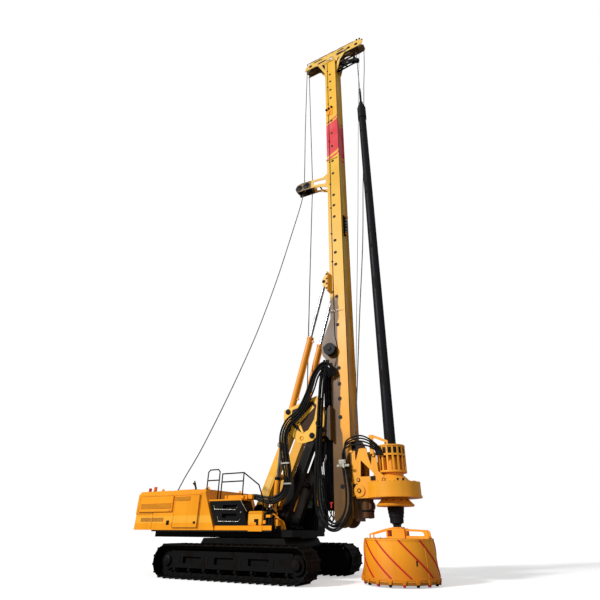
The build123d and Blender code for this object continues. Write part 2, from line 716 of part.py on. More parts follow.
with BuildPart() as aux_drum:
    add(drum(aux_winch, 320, aux_flange_radius, aux_drum_radius, 0, 0, 50 + pin_gap))
save(aux_drum, "aux_winch_drum")

# Mast in three hollow sections with guide rails down the front
rail_in = rail_out - rail_width
ear_z = (4200.0, 5320.0)
lug_z = (10250.0, 11200.0)
bulge_z = 7740.0


def mast_length(low, high):
    """One box section of the mast, open inside from end to end, with its end flanges and rails."""
    hollow = mast_width / 2 - mast_wall
    with BuildPart(mode=Mode.PRIVATE) as made:
        with BuildSketch(deck(low)):
            with Locations((mast_rear + mast_depth / 2, 0)):
                Rectangle(mast_depth, mast_width)
        extrude(amount=high - low)
        for z in ((low, high - 30) if low > mast_foot else (high - 30,)):
            add(block((mast_rear - 26, mast_front - 60), (-mast_width / 2 - 26, mast_width / 2 + 26),
                      (z, z + 30)))
        add(block((mast_rear + mast_wall, mast_front - mast_wall), (-hollow, hollow), (low - 1, high + 1)),
            mode=Mode.SUBTRACT)
        for y in ((rail_in, rail_out), (-rail_out, -rail_in)):
            add(block((mast_front, mast_front + rail_depth), y, (low, high)))
    return made.part


with BuildPart() as mast_lower:
    add(mast_length(mast_foot, mast_joints[0]))
    add(block((mast_rear - 50, mast_rear), (-590, 590), (ear_z[0] - 40, ear_z[1] + 40)))
    ear = ((mast_rear - 50, ear_z[0]), (mast_rear - 50, ear_z[1]), (mast_pin[0] - 20, mast_pin[1] + 158),
           (mast_pin[0] - 158, mast_pin[1]), (mast_pin[0] - 20, mast_pin[1] - 158))
    for lane in ((bar_in + 8, bar_in + 48), (bar_out - 48, bar_out - 8)):
        add(pair(plate, ear, lane))
    add(pair(disc, mast_pin, (bar_in + 8, bar_out - 8), 130))
    for sign in (-1, 1):
        add(disc(mast_pin, sorted((sign * bar_in, sign * bar_out)), pin_radius + pin_gap), mode=Mode.SUBTRACT)
    bulge = [(mast_rear + x, bulge_z + z) for x, z in (
        (0, 1260), (-80, 1040), (-375, 310), (-425, 0), (-375, -310), (-60, -740), (0, -840))]
    add(pair(plate, bulge, (mast_width / 2 - 32, mast_width / 2)))
    add(disc((mast_rear - 240, bulge_z), (-mast_width / 2, mast_width / 2), 90))
    foot_half = mast_depth / 2
    add(pair(disc, (mast_rear + foot_half, mast_foot + 60), (mast_width / 2 - 36, mast_width / 2), foot_half))
save(mast_lower, "mast_lower")

reel_at = (mast_rear + 5, bulge_z - 150)
with BuildPart() as hose_reel:
    add(disc(reel_at, (-mast_width / 2 - 60, -mast_width / 2), 90))
    add(disc(reel_at, (-mast_width / 2 - 90, -mast_width / 2 - 60), 245))
    add(disc(reel_at, (-mast_width / 2 - 170, -mast_width / 2 - 90), 170))
    add(disc(reel_at, (-mast_width / 2 - 200, -mast_width / 2 - 170), 245))
save(hose_reel, "hose_reel")

with BuildPart() as mast_middle:
    add(mast_length(mast_joints[0], mast_joints[1]))
    add(block((mast_rear - 50, mast_rear), (-585, 585), lug_z))
    lug = ((mast_rear - 50, lug_z[0] + 40), (mast_rear - 50, lug_z[1] - 40),
           (backstay_head[0] - 60, backstay_head[1] + 110),
           (backstay_head[0] - 110, backstay_head[1]), (backstay_head[0] - 60, backstay_head[1] - 110))
    for low, high in ((330, 362), (538, 570)):
        for lane in ((low, high), (-high, -low)):
            add(plate(lug, lane))
    add(pair(disc, backstay_head, (330, 570), pin_radius))
save(mast_middle, "mast_middle")

with BuildPart() as mast_upper:
    add(mast_length(mast_joints[1], mast_top))
save(mast_upper, "mast_upper")

# Bracket behind the mast that guides the two ropes
with BuildPart() as rope_bracket:
    arm_outline = ((mast_rear, guide_z - 670), (mast_rear, guide_z + 370), (2700, guide_z + 150),
                   (1500, guide_z + 300),
                   (1160, guide_z + 230), (1080, guide_z), (1160, guide_z - 240), (2300, guide_z - 300),
                   (2700, guide_z - 500))
    arm_opening = ((2150, guide_z - 150), (2150, guide_z + 70), (2850, guide_z - 20), (2850, guide_z - 320))
    for lane in ((200, 222), (-222, -200)):
        with BuildSketch(side(lane[1])):
            Polygon(*arm_outline)
            Polygon(*arm_opening, mode=Mode.SUBTRACT)
        extrude(amount=lane[1] - lane[0])
    for x in (1985, 2420):
        add(block((x, x + 40), (-222, 222), (guide_z - 260, guide_z - 170)))
    add(block((mast_rear - 20, mast_rear), (-260, 260), (guide_z - 670, guide_z + 370)))
    for at in mid_sheaves:
        add(disc(at, (-200, 200), 40))
save(rope_bracket, "rope_bracket")

# Mast head: two cheeks that carry the sheaves
head_outline = [(mast_rear + x, mast_top + z) for x, z in (
    (-1475, 440), (-1375, 780), (-1055, 1040), (1585, 1060), (2135, 1100), (2315, 1060), (2465, 700),
    (2400, 480),
    (1985, 440), (1300, 440), (800, 230), (745, 0), (-65, 0), (-120, 200), (-420, 300), (-700, 440))]
head_slots = ((-225, 580, 620), (1110, 660, 820))  # x from the mast's rear, height over its top, length
cheek_lanes = ((230, 256), (-256, -230))
with BuildPart() as mast_head:
    for lane in cheek_lanes:
        with BuildSketch(side(lane[1])):
            Polygon(*head_outline)
            Polygon(*[(mast_rear + x, mast_top + z) for x, z in ((150, 260), (300, 640), (480, 640),
                                                                 (400, 330))],
                    mode=Mode.SUBTRACT)
            for x, z, length in head_slots:
                with Locations((mast_rear + x, mast_top + z)):
                    SlotOverall(length, 130, mode=Mode.SUBTRACT)
        extrude(amount=lane[1] - lane[0])
    add(block((mast_rear - 40, mast_front + 40), (-mast_width / 2 - 30, mast_width / 2 + 30),
              (mast_top, mast_top + 30)))
    add(block((mast_rear + 80, mast_rear + 520), (-215, 215), (mast_top - 10, mast_top + 40)),
        mode=Mode.SUBTRACT)
    for x in (mast_rear + 15, mast_rear + 545):
        add(block((x, x + 50), (-230, 230), (mast_top + 30, mast_top + 1030)))
    add(block((mast_rear - 640, mast_rear - 600), (-230, 230), (mast_top + 480, mast_top + 1000)))
    add(block((mast_rear + 1060, mast_rear + 1100), (-230, 230), (mast_top + 480, mast_top + 1000)))
    for low, high in ((256, 280), (-280, -256)):
        add(plate([(mast_rear + x, mast_top + z) for x, z in ((-560, 400), (-340, 400), (0, -600),
                                                              (0, -950))], (low, high)))
        add(plate([(mast_front + x, mast_top + z) for x, z in (
            (0, -1100), (0, -650), (170, -80), (480, 470), (700, 470), (330, -80), (150, -900))],
            (low, high)))
    for at in (rear_sheave, main_sheave, aux_sheave):
        add(disc(at, (-230, 230), 45))
save(mast_head, "mast_head")

# Arm in front of the mast that steadies the main rope
with BuildPart() as rope_arm:
    for lane in ((60, 84), (-84, -60)):
        with BuildSketch(side(lane[1])):
            Polygon(*[(mast_front + x, mast_top + z) for x, z in (
                (0, -760), (0, -20), (150, -20), (1080, -260), (1140, -110), (1230, -110), (1320, -530),
                (1250, -590), (150, -720))])
            Polygon(*[(mast_front + x, mast_top + z) for x, z in ((120, -600), (120, -130), (960, -340),
                                                                  (1130, -490))],
                    mode=Mode.SUBTRACT)
        extrude(amount=24)
    for x, z in ((220, -60), (1185, -170), (1190, -520)):
        add(disc((mast_front + x, mast_top + z), (-60, 60), 36))
    add(block((mast_front, mast_front + 30), (-150, 150), (mast_top - 800, mast_top - 20)))
save(rope_arm, "rope_arm")


def sheave(at, middle, radius, width=80.0, pin=45.0):
    """Grooved rope wheel about a crosswise pin."""
    with BuildPart(mode=Mode.PRIVATE) as made:
        add(disc(at, (middle - width / 2, middle + width / 2), radius - 45))
        for y in (middle - width / 2, middle + width / 2 - 20):
            add(disc(at, (y, y + 20), radius))
        add(disc(at, (middle - width / 2 - 1, middle + width / 2 + 1), pin + pin_gap), mode=Mode.SUBTRACT)
    return made.part


aux_lane = 130.0
# Sheaves: name, then (centre, lane, radius, pin radius) of each wheel on that pin
for name, wheels in (("sheaves_rear", ((rear_sheave, 0, sheave_radius, 45),
                                       (rear_sheave, aux_lane, 330, 45))),
                     ("sheave_main", ((main_sheave, 0, sheave_radius, 45),)),
                     ("sheave_aux", ((aux_sheave, aux_lane, sheave_radius, 45),)),
                     ("sheave_guide_rear", ((mid_sheaves[0], 0, mid_sheave_radius, 40),)),
                     ("sheave_guide_front", ((mid_sheaves[1], aux_lane, mid_sheave_radius, 40),))):
    with BuildPart() as wheel_set:
        for at, lane, radius, pin in wheels:
            add(sheave(at, lane, radius, 80.0, pin))
    save(wheel_set, name)

# Drive: carriage on the rails with its side frames, the gearbox, the motor cage and the turning sleeve
rail_face = mast_front + rail_depth
carriage_x = rail_face + 62
shoe_gap = 0.5
sleeve_radius = 270.0
with BuildPart() as drive_carriage:
    add(block((carriage_x - 40, carriage_x + 90), (-430, 430), (drive_low + 60, 4150)))
    for z in ((drive_low + 60, drive_low + 500), (3700, 4150)):
        for sign in (-1, 1):
            add(block((rail_face + shoe_gap, carriage_x), sorted((sign * rail_in, sign * rail_out)), z))
            add(block((mast_front - 38, carriage_x), sorted((sign * (rail_out + shoe_gap),
                                                             sign * (rail_out + 32))), z))
            add(block((mast_front - 38, mast_front - 8), sorted((sign * (rail_out - 32),
                                                                 sign * (rail_out + 32))), z))
    cheek = ((carriage_x, drive_high), (carriage_x, 3400), (3880, 3470), (3990, 3810), (4260, 3830),
             (4300, 3560), (4400, 3250),
             (4440, 3590), (4500, 3665), (4580, 3620), (4600, 3480), (4625, 3080), (4905, 2850),
             (4895, 2770), (4820, drive_high))
    opening = ((4040, 3440), (4370, 3120), (4480, 3000), (4440, 2930), (4010, 2930))
    for lane in ((400, 430), (-430, -400)):
        with BuildSketch(side(lane[1])):
            Polygon(*cheek)
            Polygon(*opening, mode=Mode.SUBTRACT)
        extrude(amount=30)
    for at in ((3930, 2835), (4800, 2810), (4500, 3560)):
        add(pair(disc, at, (430, 452), 42))
    add(disc((4180, 3560), (-400, 400), 55))
    add(block((carriage_x - 40, carriage_x + 60), (-330, 330), (1640, drive_low + 60)))
    for y in (-180, 180):
        add(bar((4060, y, 1740), (4060, y, drive_low), 125))
        add(disc((4060, 2080), (y - 60, y + 60), 170))
save(drive_carriage, "drive_carriage")

# Lever beside the right side frame: a post and an arm that rests on the cage
with BuildPart() as drive_lever:
    add(block((4400, 4530), (-470, -430), (3608, 4200)))
    add(plate(((4530, 4120), (4530, 4200), (4600, 4190), (5040, 3990), (5040, cage_high), (4970, cage_high),
               (4970, 3940)), (-466, -434)))
    add(block((4390, 4540), (-476, -424), (4080, 4215)))
save(drive_lever, "drive_lever")

gearbox_radius = 870.0
gearbox_rear = carriage_x + 90
with BuildPart() as drive_gearbox:
    with BuildSketch(deck(drive_low + 40)):
        with Locations((kelly_x, 0)):
            Circle(gearbox_radius - 25)
        with Locations(((gearbox_rear + kelly_x) / 2, 0)):
            Rectangle(kelly_x - gearbox_rear, 880)
    extrude(amount=drive_high - drive_low - 40)
    with BuildSketch(deck(drive_low)):
        with Locations((kelly_x, 0)):
            Circle(gearbox_radius)
        with Locations(((gearbox_rear + kelly_x) / 2, 0)):
            Rectangle(kelly_x - gearbox_rear, 900)
    extrude(amount=60)
    ear_mid = (drive_low + drive_high) / 2
    for sign in (-1, 1):
        lane = sorted((sign * 430, sign * 480))
        add(block((gearbox_rear, 3960), lane, (drive_low + 40, drive_high - 40)))
        add(disc((3960, ear_mid), lane, (drive_high - drive_low) / 2 - 40))
        add(disc((3960, ear_mid), sorted((sign * 480, sign * 498)), 45))
    with BuildSketch(deck(drive_high)):
        with Locations((kelly_x, 0)):
            Circle(580)
    extrude(amount=190, taper=45)
    for sign in (-1, 1):
        add(block((kelly_x - 600, kelly_x - 60), sorted((sign * 396, sign * 620)),
                  (drive_high, drive_high + 200)), mode=Mode.SUBTRACT)
    with BuildSketch(deck(drive_high)):
        with Locations((kelly_x, 0)):
            Circle(350)
    extrude(amount=cage_low - drive_high)
    with BuildSketch(deck(drive_low - 1)):
        with Locations((kelly_x, 0)):
            Circle(sleeve_radius + pin_gap)
    extrude(amount=1250, mode=Mode.SUBTRACT)
save(drive_gearbox, "drive_gearbox")

# Cage around the motors: lower ring, tall upper ring and flat bars between them
cage_radius = 470.0
cage_bars = 16
with BuildPart() as motor_cage:
    for z, high, inner in ((cage_low, 60, sleeve_radius + 20), (3540, 60, cage_radius - 50),
                           (cage_high - 40, 40, cage_radius - 70)):
        with BuildSketch(deck(z)):
            with Locations((kelly_x, 0)):
                Circle(cage_radius)
                Circle(inner, mode=Mode.SUBTRACT)
        extrude(amount=high)
    with BuildSketch(deck(3560)):
        with Locations((kelly_x, 0)):
            Circle(cage_radius - 25)
            Circle(cage_radius - 50, mode=Mode.SUBTRACT)
    extrude(amount=cage_high - 3580)
    with BuildSketch(deck(cage_low)):
        with Locations((kelly_x, 0)):
            with PolarLocations(cage_radius - 18, cage_bars):
                Rectangle(30, 60)
    extrude(amount=cage_high - cage_low - 20)
    # Motors inside the cage
    with BuildSketch(deck(cage_low + 60)):
        with Locations((kelly_x, 0)):
            with PolarLocations(sleeve_radius + 65, 6):
                Circle(52)
    extrude(amount=400)
save(motor_cage, "motor_cage")

with BuildPart() as sleeve:
    with BuildSketch(side()):
        Polygon((kelly_x + kelly_radius + 0.6, kelly_bottom - 40), (kelly_x + 580, kelly_bottom - 40),
                (kelly_x + 605, kelly_bottom - 5),
                (kelly_x + 400, drive_low - 8),
                (kelly_x + sleeve_radius, drive_low - 8), (kelly_x + sleeve_radius, cage_low + 500),
                (kelly_x + kelly_radius + 0.6, cage_low + 500))
    revolve(axis=Axis((slew_x + kelly_x, 0, 0), (0, 0, 1)))
save(sleeve, "drive_sleeve")

stub_side = 200.0
stub_low = bucket_top + 153
# Kelly: hollow bar, lower collar, square stub, and the top collar under the swivel
with BuildPart() as kelly:
    with BuildSketch(side()):
        Polygon(*[(kelly_x + r, kelly_bottom + z) for r, z in (
            (0, -540), (150, -540), (150, -520), (212, -500), (212, -355), (232, -340), (232, -250),
            (250, -240), (250, -140),
            (262, -130), (262, -62), (kelly_radius, -50))], *[(kelly_x + r, kelly_top + z) for r, z in (
                (kelly_radius, 0), (228, 40), (228, 890), (160, 1130), (0, 1130))])
    revolve(axis=Axis((slew_x + kelly_x, 0, 0), (0, 0, 1)))
    with BuildSketch(deck(kelly_bottom + 110)):
        with Locations((kelly_x, 0)):
            Circle(kelly_radius - 42)
    extrude(amount=kelly_top - kelly_bottom + 620, mode=Mode.SUBTRACT)
    with BuildSketch(deck(stub_low)):
        with Locations((kelly_x, 0)):
            Rectangle(stub_side, stub_side)
    extrude(amount=kelly_bottom - 530 - stub_low)
save(kelly, "kelly")

with BuildPart() as swivel:
    with BuildSketch(side()):
        Polygon(*[(kelly_x + r, kelly_top + 1130 + z) for r, z in (
            (0, seat_gap), (110, seat_gap), (110, 250), (60, 350), (60, 1200), (30, 1450), (0, 1450))])
    revolve(axis=Axis((slew_x + kelly_x, 0, 0), (0, 0, 1)))
save(swivel, "kelly_swivel")

# Bucket: tapered shell, a top frame with the stub's socket, and a hinged floor with teeth. The floor turns
# on a pin at the rear edge, which the shell's two lugs hold.
floor_pin = (kelly_x - bucket_low_radius - 45, 105.0)
rim_teeth = 18
edge_teeth = 5
with BuildPart() as bucket_shell:
    with BuildSketch(side()):
        Polygon((kelly_x + bucket_low_radius - 12, bucket_floor),
                (kelly_x + bucket_top_radius - 12, bucket_top - 30),
                (kelly_x, bucket_top - 30), (kelly_x, bucket_top), (kelly_x + bucket_top_radius, bucket_top),
                (kelly_x + bucket_low_radius, bucket_floor + 60), (kelly_x + bucket_low_radius, bucket_floor))
    revolve(axis=Axis((slew_x + kelly_x, 0, 0), (0, 0, 1)))
    for lane in ((186, 216), (-216, -186)):
        add(plate(((floor_pin[0] - 38, floor_pin[1] - 10), (floor_pin[0] - 38, floor_pin[1] + 60),
                   (kelly_x - 1092, 420),
                   (kelly_x - 1060, 420), (kelly_x - 1080, bucket_floor + 5),
                   (floor_pin[0] + 30, floor_pin[1] - 38),
                   (floor_pin[0] - 10, floor_pin[1] - 38)), lane))
    add(disc(floor_pin, (-216, 216), 20))
save(bucket_shell, "bucket_shell")

with BuildPart() as bucket_frame:
    socket = stub_side + 2 * pin_gap
    add(block((kelly_x - 300, kelly_x + 275), (-230, 230), (bucket_top, bucket_top + 263)))
    add(block((kelly_x - 130, kelly_x + 180), (-180, 180), (bucket_top + 263, bucket_top + 300)))
    add(block((kelly_x - socket / 2, kelly_x + socket / 2), (-socket / 2, socket / 2),
              (bucket_top + 150, bucket_top + 350)),
        mode=Mode.SUBTRACT)
    add(block((kelly_x - 260, kelly_x - 120), (-240, 240), (bucket_top + 50, bucket_top + 215)),
        mode=Mode.SUBTRACT)
    for lane in ((150, 180), (-180, -150)):
        with BuildSketch(side(lane[1])):
            Polygon(*[(kelly_x + x, bucket_top + z) for x, z in ((275, 0), (275, 250), (900, 222),
                                                                 (960, 170), (985, 0))])
            Polygon(*[(kelly_x + x, bucket_top + z) for x, z in ((310, 65), (310, 195), (800, 172),
                                                                 (845, 130), (850, 65))],
                    mode=Mode.SUBTRACT)
        extrude(amount=lane[1] - lane[0])
        add(plate([(kelly_x + x, bucket_top + z) for x, z in (
            (-300, 215), (-300, 263), (-850, 130), (-875, 100), (-875, 0), (-835, 0), (-835, 90))], lane))
save(bucket_frame, "bucket_frame")

with BuildPart() as bucket_door:
    with BuildSketch(deck(70)):
        with Locations((kelly_x, 0)):
            Circle(bucket_low_radius - 10)
    extrude(amount=bucket_floor - 6 - 70)
    add(block((floor_pin[0], kelly_x - 900), (-180, 180), (80, bucket_floor - 6)))
    add(disc(floor_pin, (-180, 180), 40))
    add(disc(floor_pin, (-185, 185), 20 + pin_gap), mode=Mode.SUBTRACT)
    # Teeth round the rim and along two cutting edges
    with BuildSketch(deck(70)):
        with Locations((kelly_x, 0)):
            with PolarLocations(bucket_low_radius - 50, rim_teeth, start_angle=10):
                Circle(36)
    extrude(amount=-42, taper=22)
    for side_sign in (-1, 1):
        add(block(sorted((kelly_x + side_sign * 60, kelly_x + side_sign * 940)),
                  sorted((side_sign * 30, side_sign * 90)), (56, 72)))
        for step in range(edge_teeth):
            with BuildSketch(deck(60)):
                with Locations((kelly_x + side_sign * (180 + step * 170), side_sign * 60)):
                    Rectangle(80, 60)
            extrude(amount=-34, taper=18)
save(bucket_door, "bucket_door")
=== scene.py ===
# Rotary piling rig on tracks: paint, ropes, hoses and fittings over the fixed frame.
# Metres; +X is the machine's front, -Y its right side, +Z up.
import json
import math
import bpy
import numpy as np
from mathutils import Matrix, Vector


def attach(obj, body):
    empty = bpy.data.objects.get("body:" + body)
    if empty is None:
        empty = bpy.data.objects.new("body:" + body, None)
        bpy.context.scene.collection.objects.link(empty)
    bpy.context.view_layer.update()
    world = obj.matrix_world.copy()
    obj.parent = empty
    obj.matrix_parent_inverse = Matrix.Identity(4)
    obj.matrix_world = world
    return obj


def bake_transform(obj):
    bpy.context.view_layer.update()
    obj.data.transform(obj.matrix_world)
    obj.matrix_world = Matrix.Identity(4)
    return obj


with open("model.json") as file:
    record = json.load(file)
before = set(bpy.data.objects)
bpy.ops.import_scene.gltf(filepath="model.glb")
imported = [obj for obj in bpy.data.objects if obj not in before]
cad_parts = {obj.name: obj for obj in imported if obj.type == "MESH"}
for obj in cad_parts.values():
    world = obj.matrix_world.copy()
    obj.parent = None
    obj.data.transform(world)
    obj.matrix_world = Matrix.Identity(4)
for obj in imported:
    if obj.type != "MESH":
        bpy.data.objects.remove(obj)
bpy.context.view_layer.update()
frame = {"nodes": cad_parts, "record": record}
nodes = frame["nodes"]
slewX = -0.632  # the slewing axis; every x below counts from it unless a note says otherwise
print("frame loaded:", len(nodes), "nodes")


# Shader maths

class Value:
    # one socket, so that masks read as plain sums and products
    def __init__(self, finish, socket):
        self.finish = finish
        self.socket = socket

    def __add__(self, other):
        return self.finish.maths("ADD", self, other)

    def __sub__(self, other):
        return self.finish.maths("SUBTRACT", self, other)

    def __rsub__(self, other):
        return self.finish.maths("SUBTRACT", other, self)

    def __mul__(self, other):
        return self.finish.maths("MULTIPLY", self, other)

    def larger(self, other):
        return self.finish.maths("MAXIMUM", self, other)

    def size(self):
        return self.finish.maths("ABSOLUTE", self, 0.0)

    __radd__ = __add__
    __rmul__ = __mul__


class NodeTree:
    # the few calls that add any node to a tree and link it
    def __init__(self, tree):
        self.tree = tree

    def feed(self, socket, value):
        if isinstance(value, Value):
            self.tree.links.new(value.socket, socket)
        else:
            socket.default_value = value

    def node(self, kind, settings={}, inputs={}, output=0):
        # settings come first, because they change which sockets there are
        made = self.tree.nodes.new(kind)
        for name, value in settings.items():
            setattr(made, name, value)
        for name, value in inputs.items():
            self.feed(made.inputs[name], value)
        return Value(self, made.outputs[output])

    def maths(self, operation, a, b):
        return self.node("ShaderNodeMath", {"operation": operation}, {0: a, 1: b})


class Finish(NodeTree):
    # a material, and the short calls that build its masks
    def __init__(self, name):
        self.material = bpy.data.materials.new(name)
        self.material.use_nodes = True
        super().__init__(self.material.node_tree)
        self.shader = self.tree.nodes["Principled BSDF"]
        self.place = self.node("ShaderNodeTexCoord", output="Object")
        self.x, self.y, self.z = (self.part(self.place, i) for i in range(3))

    def part(self, vector, index):
        return self.node("ShaderNodeSeparateXYZ", inputs={0: vector}, output=index)

    def stretched(self, scale):
        return self.node("ShaderNodeMapping", inputs={"Vector": self.place, "Scale": scale})

    def noise(self, scale, detail=4.0, stretch=None):
        vector = self.place if stretch is None else self.stretched(stretch)
        return self.node("ShaderNodeTexNoise", inputs={"Vector": vector, "Scale": scale, "Detail": detail})

    def step(self, value, low, high):
        # 0 below low, 1 above high and a soft rise between them
        return self.node("ShaderNodeMapRange", {"interpolation_type": "SMOOTHSTEP"},
                         {"Value": value, "From Min": low, "From Max": high})

    def mix(self, share, a, b):
        return self.node("ShaderNodeMix", {"data_type": "RGBA"}, {0: share, 6: a, 7: b}, 2)

    def facingUp(self):
        return self.part(self.node("ShaderNodeNewGeometry", output="Normal"), 2)

    def edges(self, radius, low, high):
        # how far the rounded normal turns away from the flat one: 1 along edges
        rounded = self.node("ShaderNodeBevel", {"samples": 4}, {"Radius": radius})
        flat = self.node("ShaderNodeNewGeometry", output="Normal")
        same = self.node("ShaderNodeVectorMath", {"operation": "DOT_PRODUCT"}, {0: rounded, 1: flat}, 1)
        return self.step(1 - same, low, high)

    def bump(self, height, distance, strength=1.0):
        return self.node("ShaderNodeBump",
                         inputs={"Height": height, "Distance": distance, "Strength": strength})

    def done(self, base, roughness, normal, metallic=0.0, **constants):
        self.shader.inputs["Specular IOR Level"].default_value = 0.28
        self.feed(self.shader.inputs["Base Color"], base)
        self.feed(self.shader.inputs["Roughness"], roughness)
        self.feed(self.shader.inputs["Metallic"], metallic)
        self.feed(self.shader.inputs["Normal"], normal)
        for name, value in constants.items():
            self.shader.inputs[name.replace("_", " ")].default_value = value
        return self.material


def shade(red, green, blue):
    # screen colour from 0 to 255 turned into the linear values that a socket takes
    parts = [c / 255 for c in (red, green, blue)]
    return tuple(c / 12.92 if c <= 0.04045 else ((c + 0.055) / 1.055) ** 2.4 for c in parts) + (1.0,)


# the brown called grime is the colour of painted shadow on the lower mast
paints = {
    "body": shade(253, 159, 18), "mast": shade(248, 191, 54), "mastLow": shade(252, 172, 40),
    "bucket": shade(244, 156, 22), "kelly": shade(24, 23, 28), "black": shade(8, 7, 7),
    "track": shade(6, 5, 5),
    "red": shade(226, 52, 66), "paleRed": shade(234, 86, 92), "signal": shade(196, 26, 26),
    "boom": shade(253, 186, 56), "drive": shade(252, 168, 38), "shadeBrown": shade(84, 56, 22),
    "dust": shade(176, 134, 76), "soil": shade(66, 48, 34), "rust": shade(112, 58, 28),
    "primer": shade(88, 84, 80), "shadow": shade(40, 27, 18),
}


def paintedSteel(name, paint, dust=0.35, wear=0.5, gloss=0.34, marks=None, shine=0.28):
    # sprayed paint: broad fading, thin upright run-off streaks, dust on top faces, rubbed edges and
    # small chips
    f = Finish(name)
    light = tuple(min(1.0, c * 1.08 + 0.002) for c in paint[:3]) + (1.0,)
    deep = tuple(c * 0.88 for c in paint[:3]) + (1.0,)
    fade = f.step(f.noise(0.55, 5.0), 0.32, 0.68)
    colour = f.mix(fade, deep, light)
    if marks:
        colour = marks(f, colour)
    streaks = f.step(f.noise(5.0, 6.0, (1.0, 1.0, 0.07)), 0.52, 0.78)
    colour = f.mix(streaks * (0.30 * dust + 0.06), colour, paints["soil"])
    settled = f.step(f.facingUp(), 0.3, 0.95) * f.step(f.noise(2.4, 6.0), 0.36, 0.66)
    colour = f.mix(settled * dust, colour, paints["dust"])
    rubbed = f.edges(0.014, 0.03, 0.16) * f.step(f.noise(7.0, 5.0), 0.42, 0.60)
    colour = f.mix(rubbed * wear, colour, paints["primer"])
    chips = f.step(f.noise(21.0, 7.0), 0.70, 0.73)
    colour = f.mix(chips * wear, colour, paints["rust"])
    rough = gloss + 0.10 * fade + 0.30 * settled + 0.25 * rubbed + 0.3 * chips
    peel = f.noise(60.0, 2.0) * 0.25 + f.noise(1.6, 3.0) - chips * 0.5
    return f.done(colour, rough, f.bump(peel, 0.0025, 0.6), Specular_IOR_Level=shine)


def mastTone(f, colour):
    # the lower mast is more orange; painted shadow browns its foot and the rear part of its lower
    # sides, painted shade darkens the low rear ears, and the groove is dark with painted shade and grease
    colour = f.mix(f.step(f.z, 6.0, 14.0), paints["mastLow"], colour)
    colour = f.mix(f.step(f.noise(0.55, 5.0), 0.32, 0.68) * 0.12, colour, shade(190, 120, 40))
    # the groove between the front rails: painted shade, with grease in patches
    groove = f.step(f.x, 3.640 + slewX, 3.642 + slewX) * (1 - f.step(f.y.size(), 0.330, 0.334))
    greased = 0.12 + 0.3 * f.step(f.noise(3.0, 5.0, (1.0, 1.0, 0.2)), 0.35, 0.65)
    colour = f.mix(groove * greased, colour, paints["shadow"])
    patch = f.step(f.noise(1.8, 6.0, (1.0, 1.0, 0.4)), 0.30, 0.62)
    rear = 1 - f.step(f.x + patch * 0.10, slewX + 3.38, slewX + 3.43)
    # painted shadow over the rear part of the lower sides, below about 10 m
    castShadow = (1 - f.step(f.z + patch * 0.5, 10.0, 10.4)) * rear * (0.91 + 0.07 * patch)
    # painted shadow at the foot
    foot = (1 - f.step(f.z, 3.4, 4.6)) * (0.88 + 0.09 * patch)
    colour = f.mix(castShadow.larger(foot), colour, paints["shadeBrown"])
    # painted shade on the low rear ears
    earShade = (1 - f.step(f.x, slewX + 2.99, slewX + 3.01)) * (1 - f.step(f.z, 5.5, 5.7))
    return f.mix(earShade * 0.8, colour, paints["shadow"])


def shadeInside(half):
    # painted shade: everything nearer to the middle plane than half is dark
    def marks(f, colour):
        inner = 1 - f.step(f.y.size(), half - 0.001, half)
        return f.mix(inner * 0.92, colour, paints["shadow"])
    return marks


def bracketMarks(f, colour):
    # painted shade between the plates, and a dark patch over the bracket's rear part, cut off by a slanting
    # line at the top
    colour = shadeInside(0.180)(f, colour)
    slant = f.x + (17.5 - f.z) * 0.9
    rearPatch = (1 - f.step(f.x, slewX + 1.96, slewX + 2.06)) * f.step(slant, slewX + 1.30, slewX + 1.42)
    return f.mix(rearPatch * (0.72 + 0.25 * f.step(f.noise(9.0, 4.0), 0.4, 0.6)), colour, paints["shadow"])


def deckMarks(f, colour):
    # the black deck has an orange sill along both sides
    sill = f.step(f.z, 1.376, 1.379) * f.step(f.y.size(), 1.02,
                                              1.03) * (1 - f.step(f.x, slewX + 1.31, slewX + 1.32))
    post = f.step(f.x, slewX + 1.80, slewX + 1.81) * f.step(f.z, 2.15, 2.16)
    return f.mix(sill.larger(post), colour, paints["body"])


def cabMarks(f, colour):
    # the cab's front frame and the side beside the boom are black
    side = 1 - f.step(f.y, 0.9795, 0.9805)
    nose = f.step(f.x, slewX + 1.22, slewX + 1.23)
    return f.mix(side.larger(nose), colour, paints["black"])


def bucketFade(f, colour):
    # paler towards the top, browner towards the cutting edge
    return f.mix(f.step(f.z, 0.15, 1.1), shade(222, 132, 16), colour)


def hoodMarks(f, colour):
    # a paler band low along the sides
    band = f.step(f.z, 1.58, 1.62) * (1 - f.step(f.z, 1.80, 1.86)) * f.step(f.y.size(), 1.495, 1.498)
    return f.mix(band * 0.45, colour, shade(255, 196, 70))


def mastMarks(f, colour):
    # the red band with its two stripes, whose edges rise along the sides and meet as a chevron in front
    colour = mastTone(f, colour)
    along = f.x - (3.015 + slewX)
    lift = along * 0.46 - (0.375 - f.y.size()).larger(0.0) * 0.85
    height = f.z - lift

    def between(low, high):
        return f.step(height, low - 0.006, low + 0.006) * (1 - f.step(height, high - 0.006, high + 0.006))

    red = between(18.40, 20.83).larger(between(20.97, 21.09)).larger(between(18.10, 18.24))
    weathered = f.mix(f.step(f.noise(1.3, 5.0), 0.35, 0.7), paints["red"], paints["paleRed"])
    return f.mix(red, colour, weathered)


def toothTips(f, colour):
    # painted shade on the door's rim between the teeth, and the red-dipped lower ends of the teeth
    across = f.x - (4.98 + slewX)
    distance = f.maths("SQRT", across * across + f.y * f.y, 0.0)
    colour = f.mix(f.step(distance, 1.096, 1.099), colour, paints["shadow"])
    return f.mix(1 - f.step(f.z, 0.070, 0.078), colour, shade(196, 38, 30))


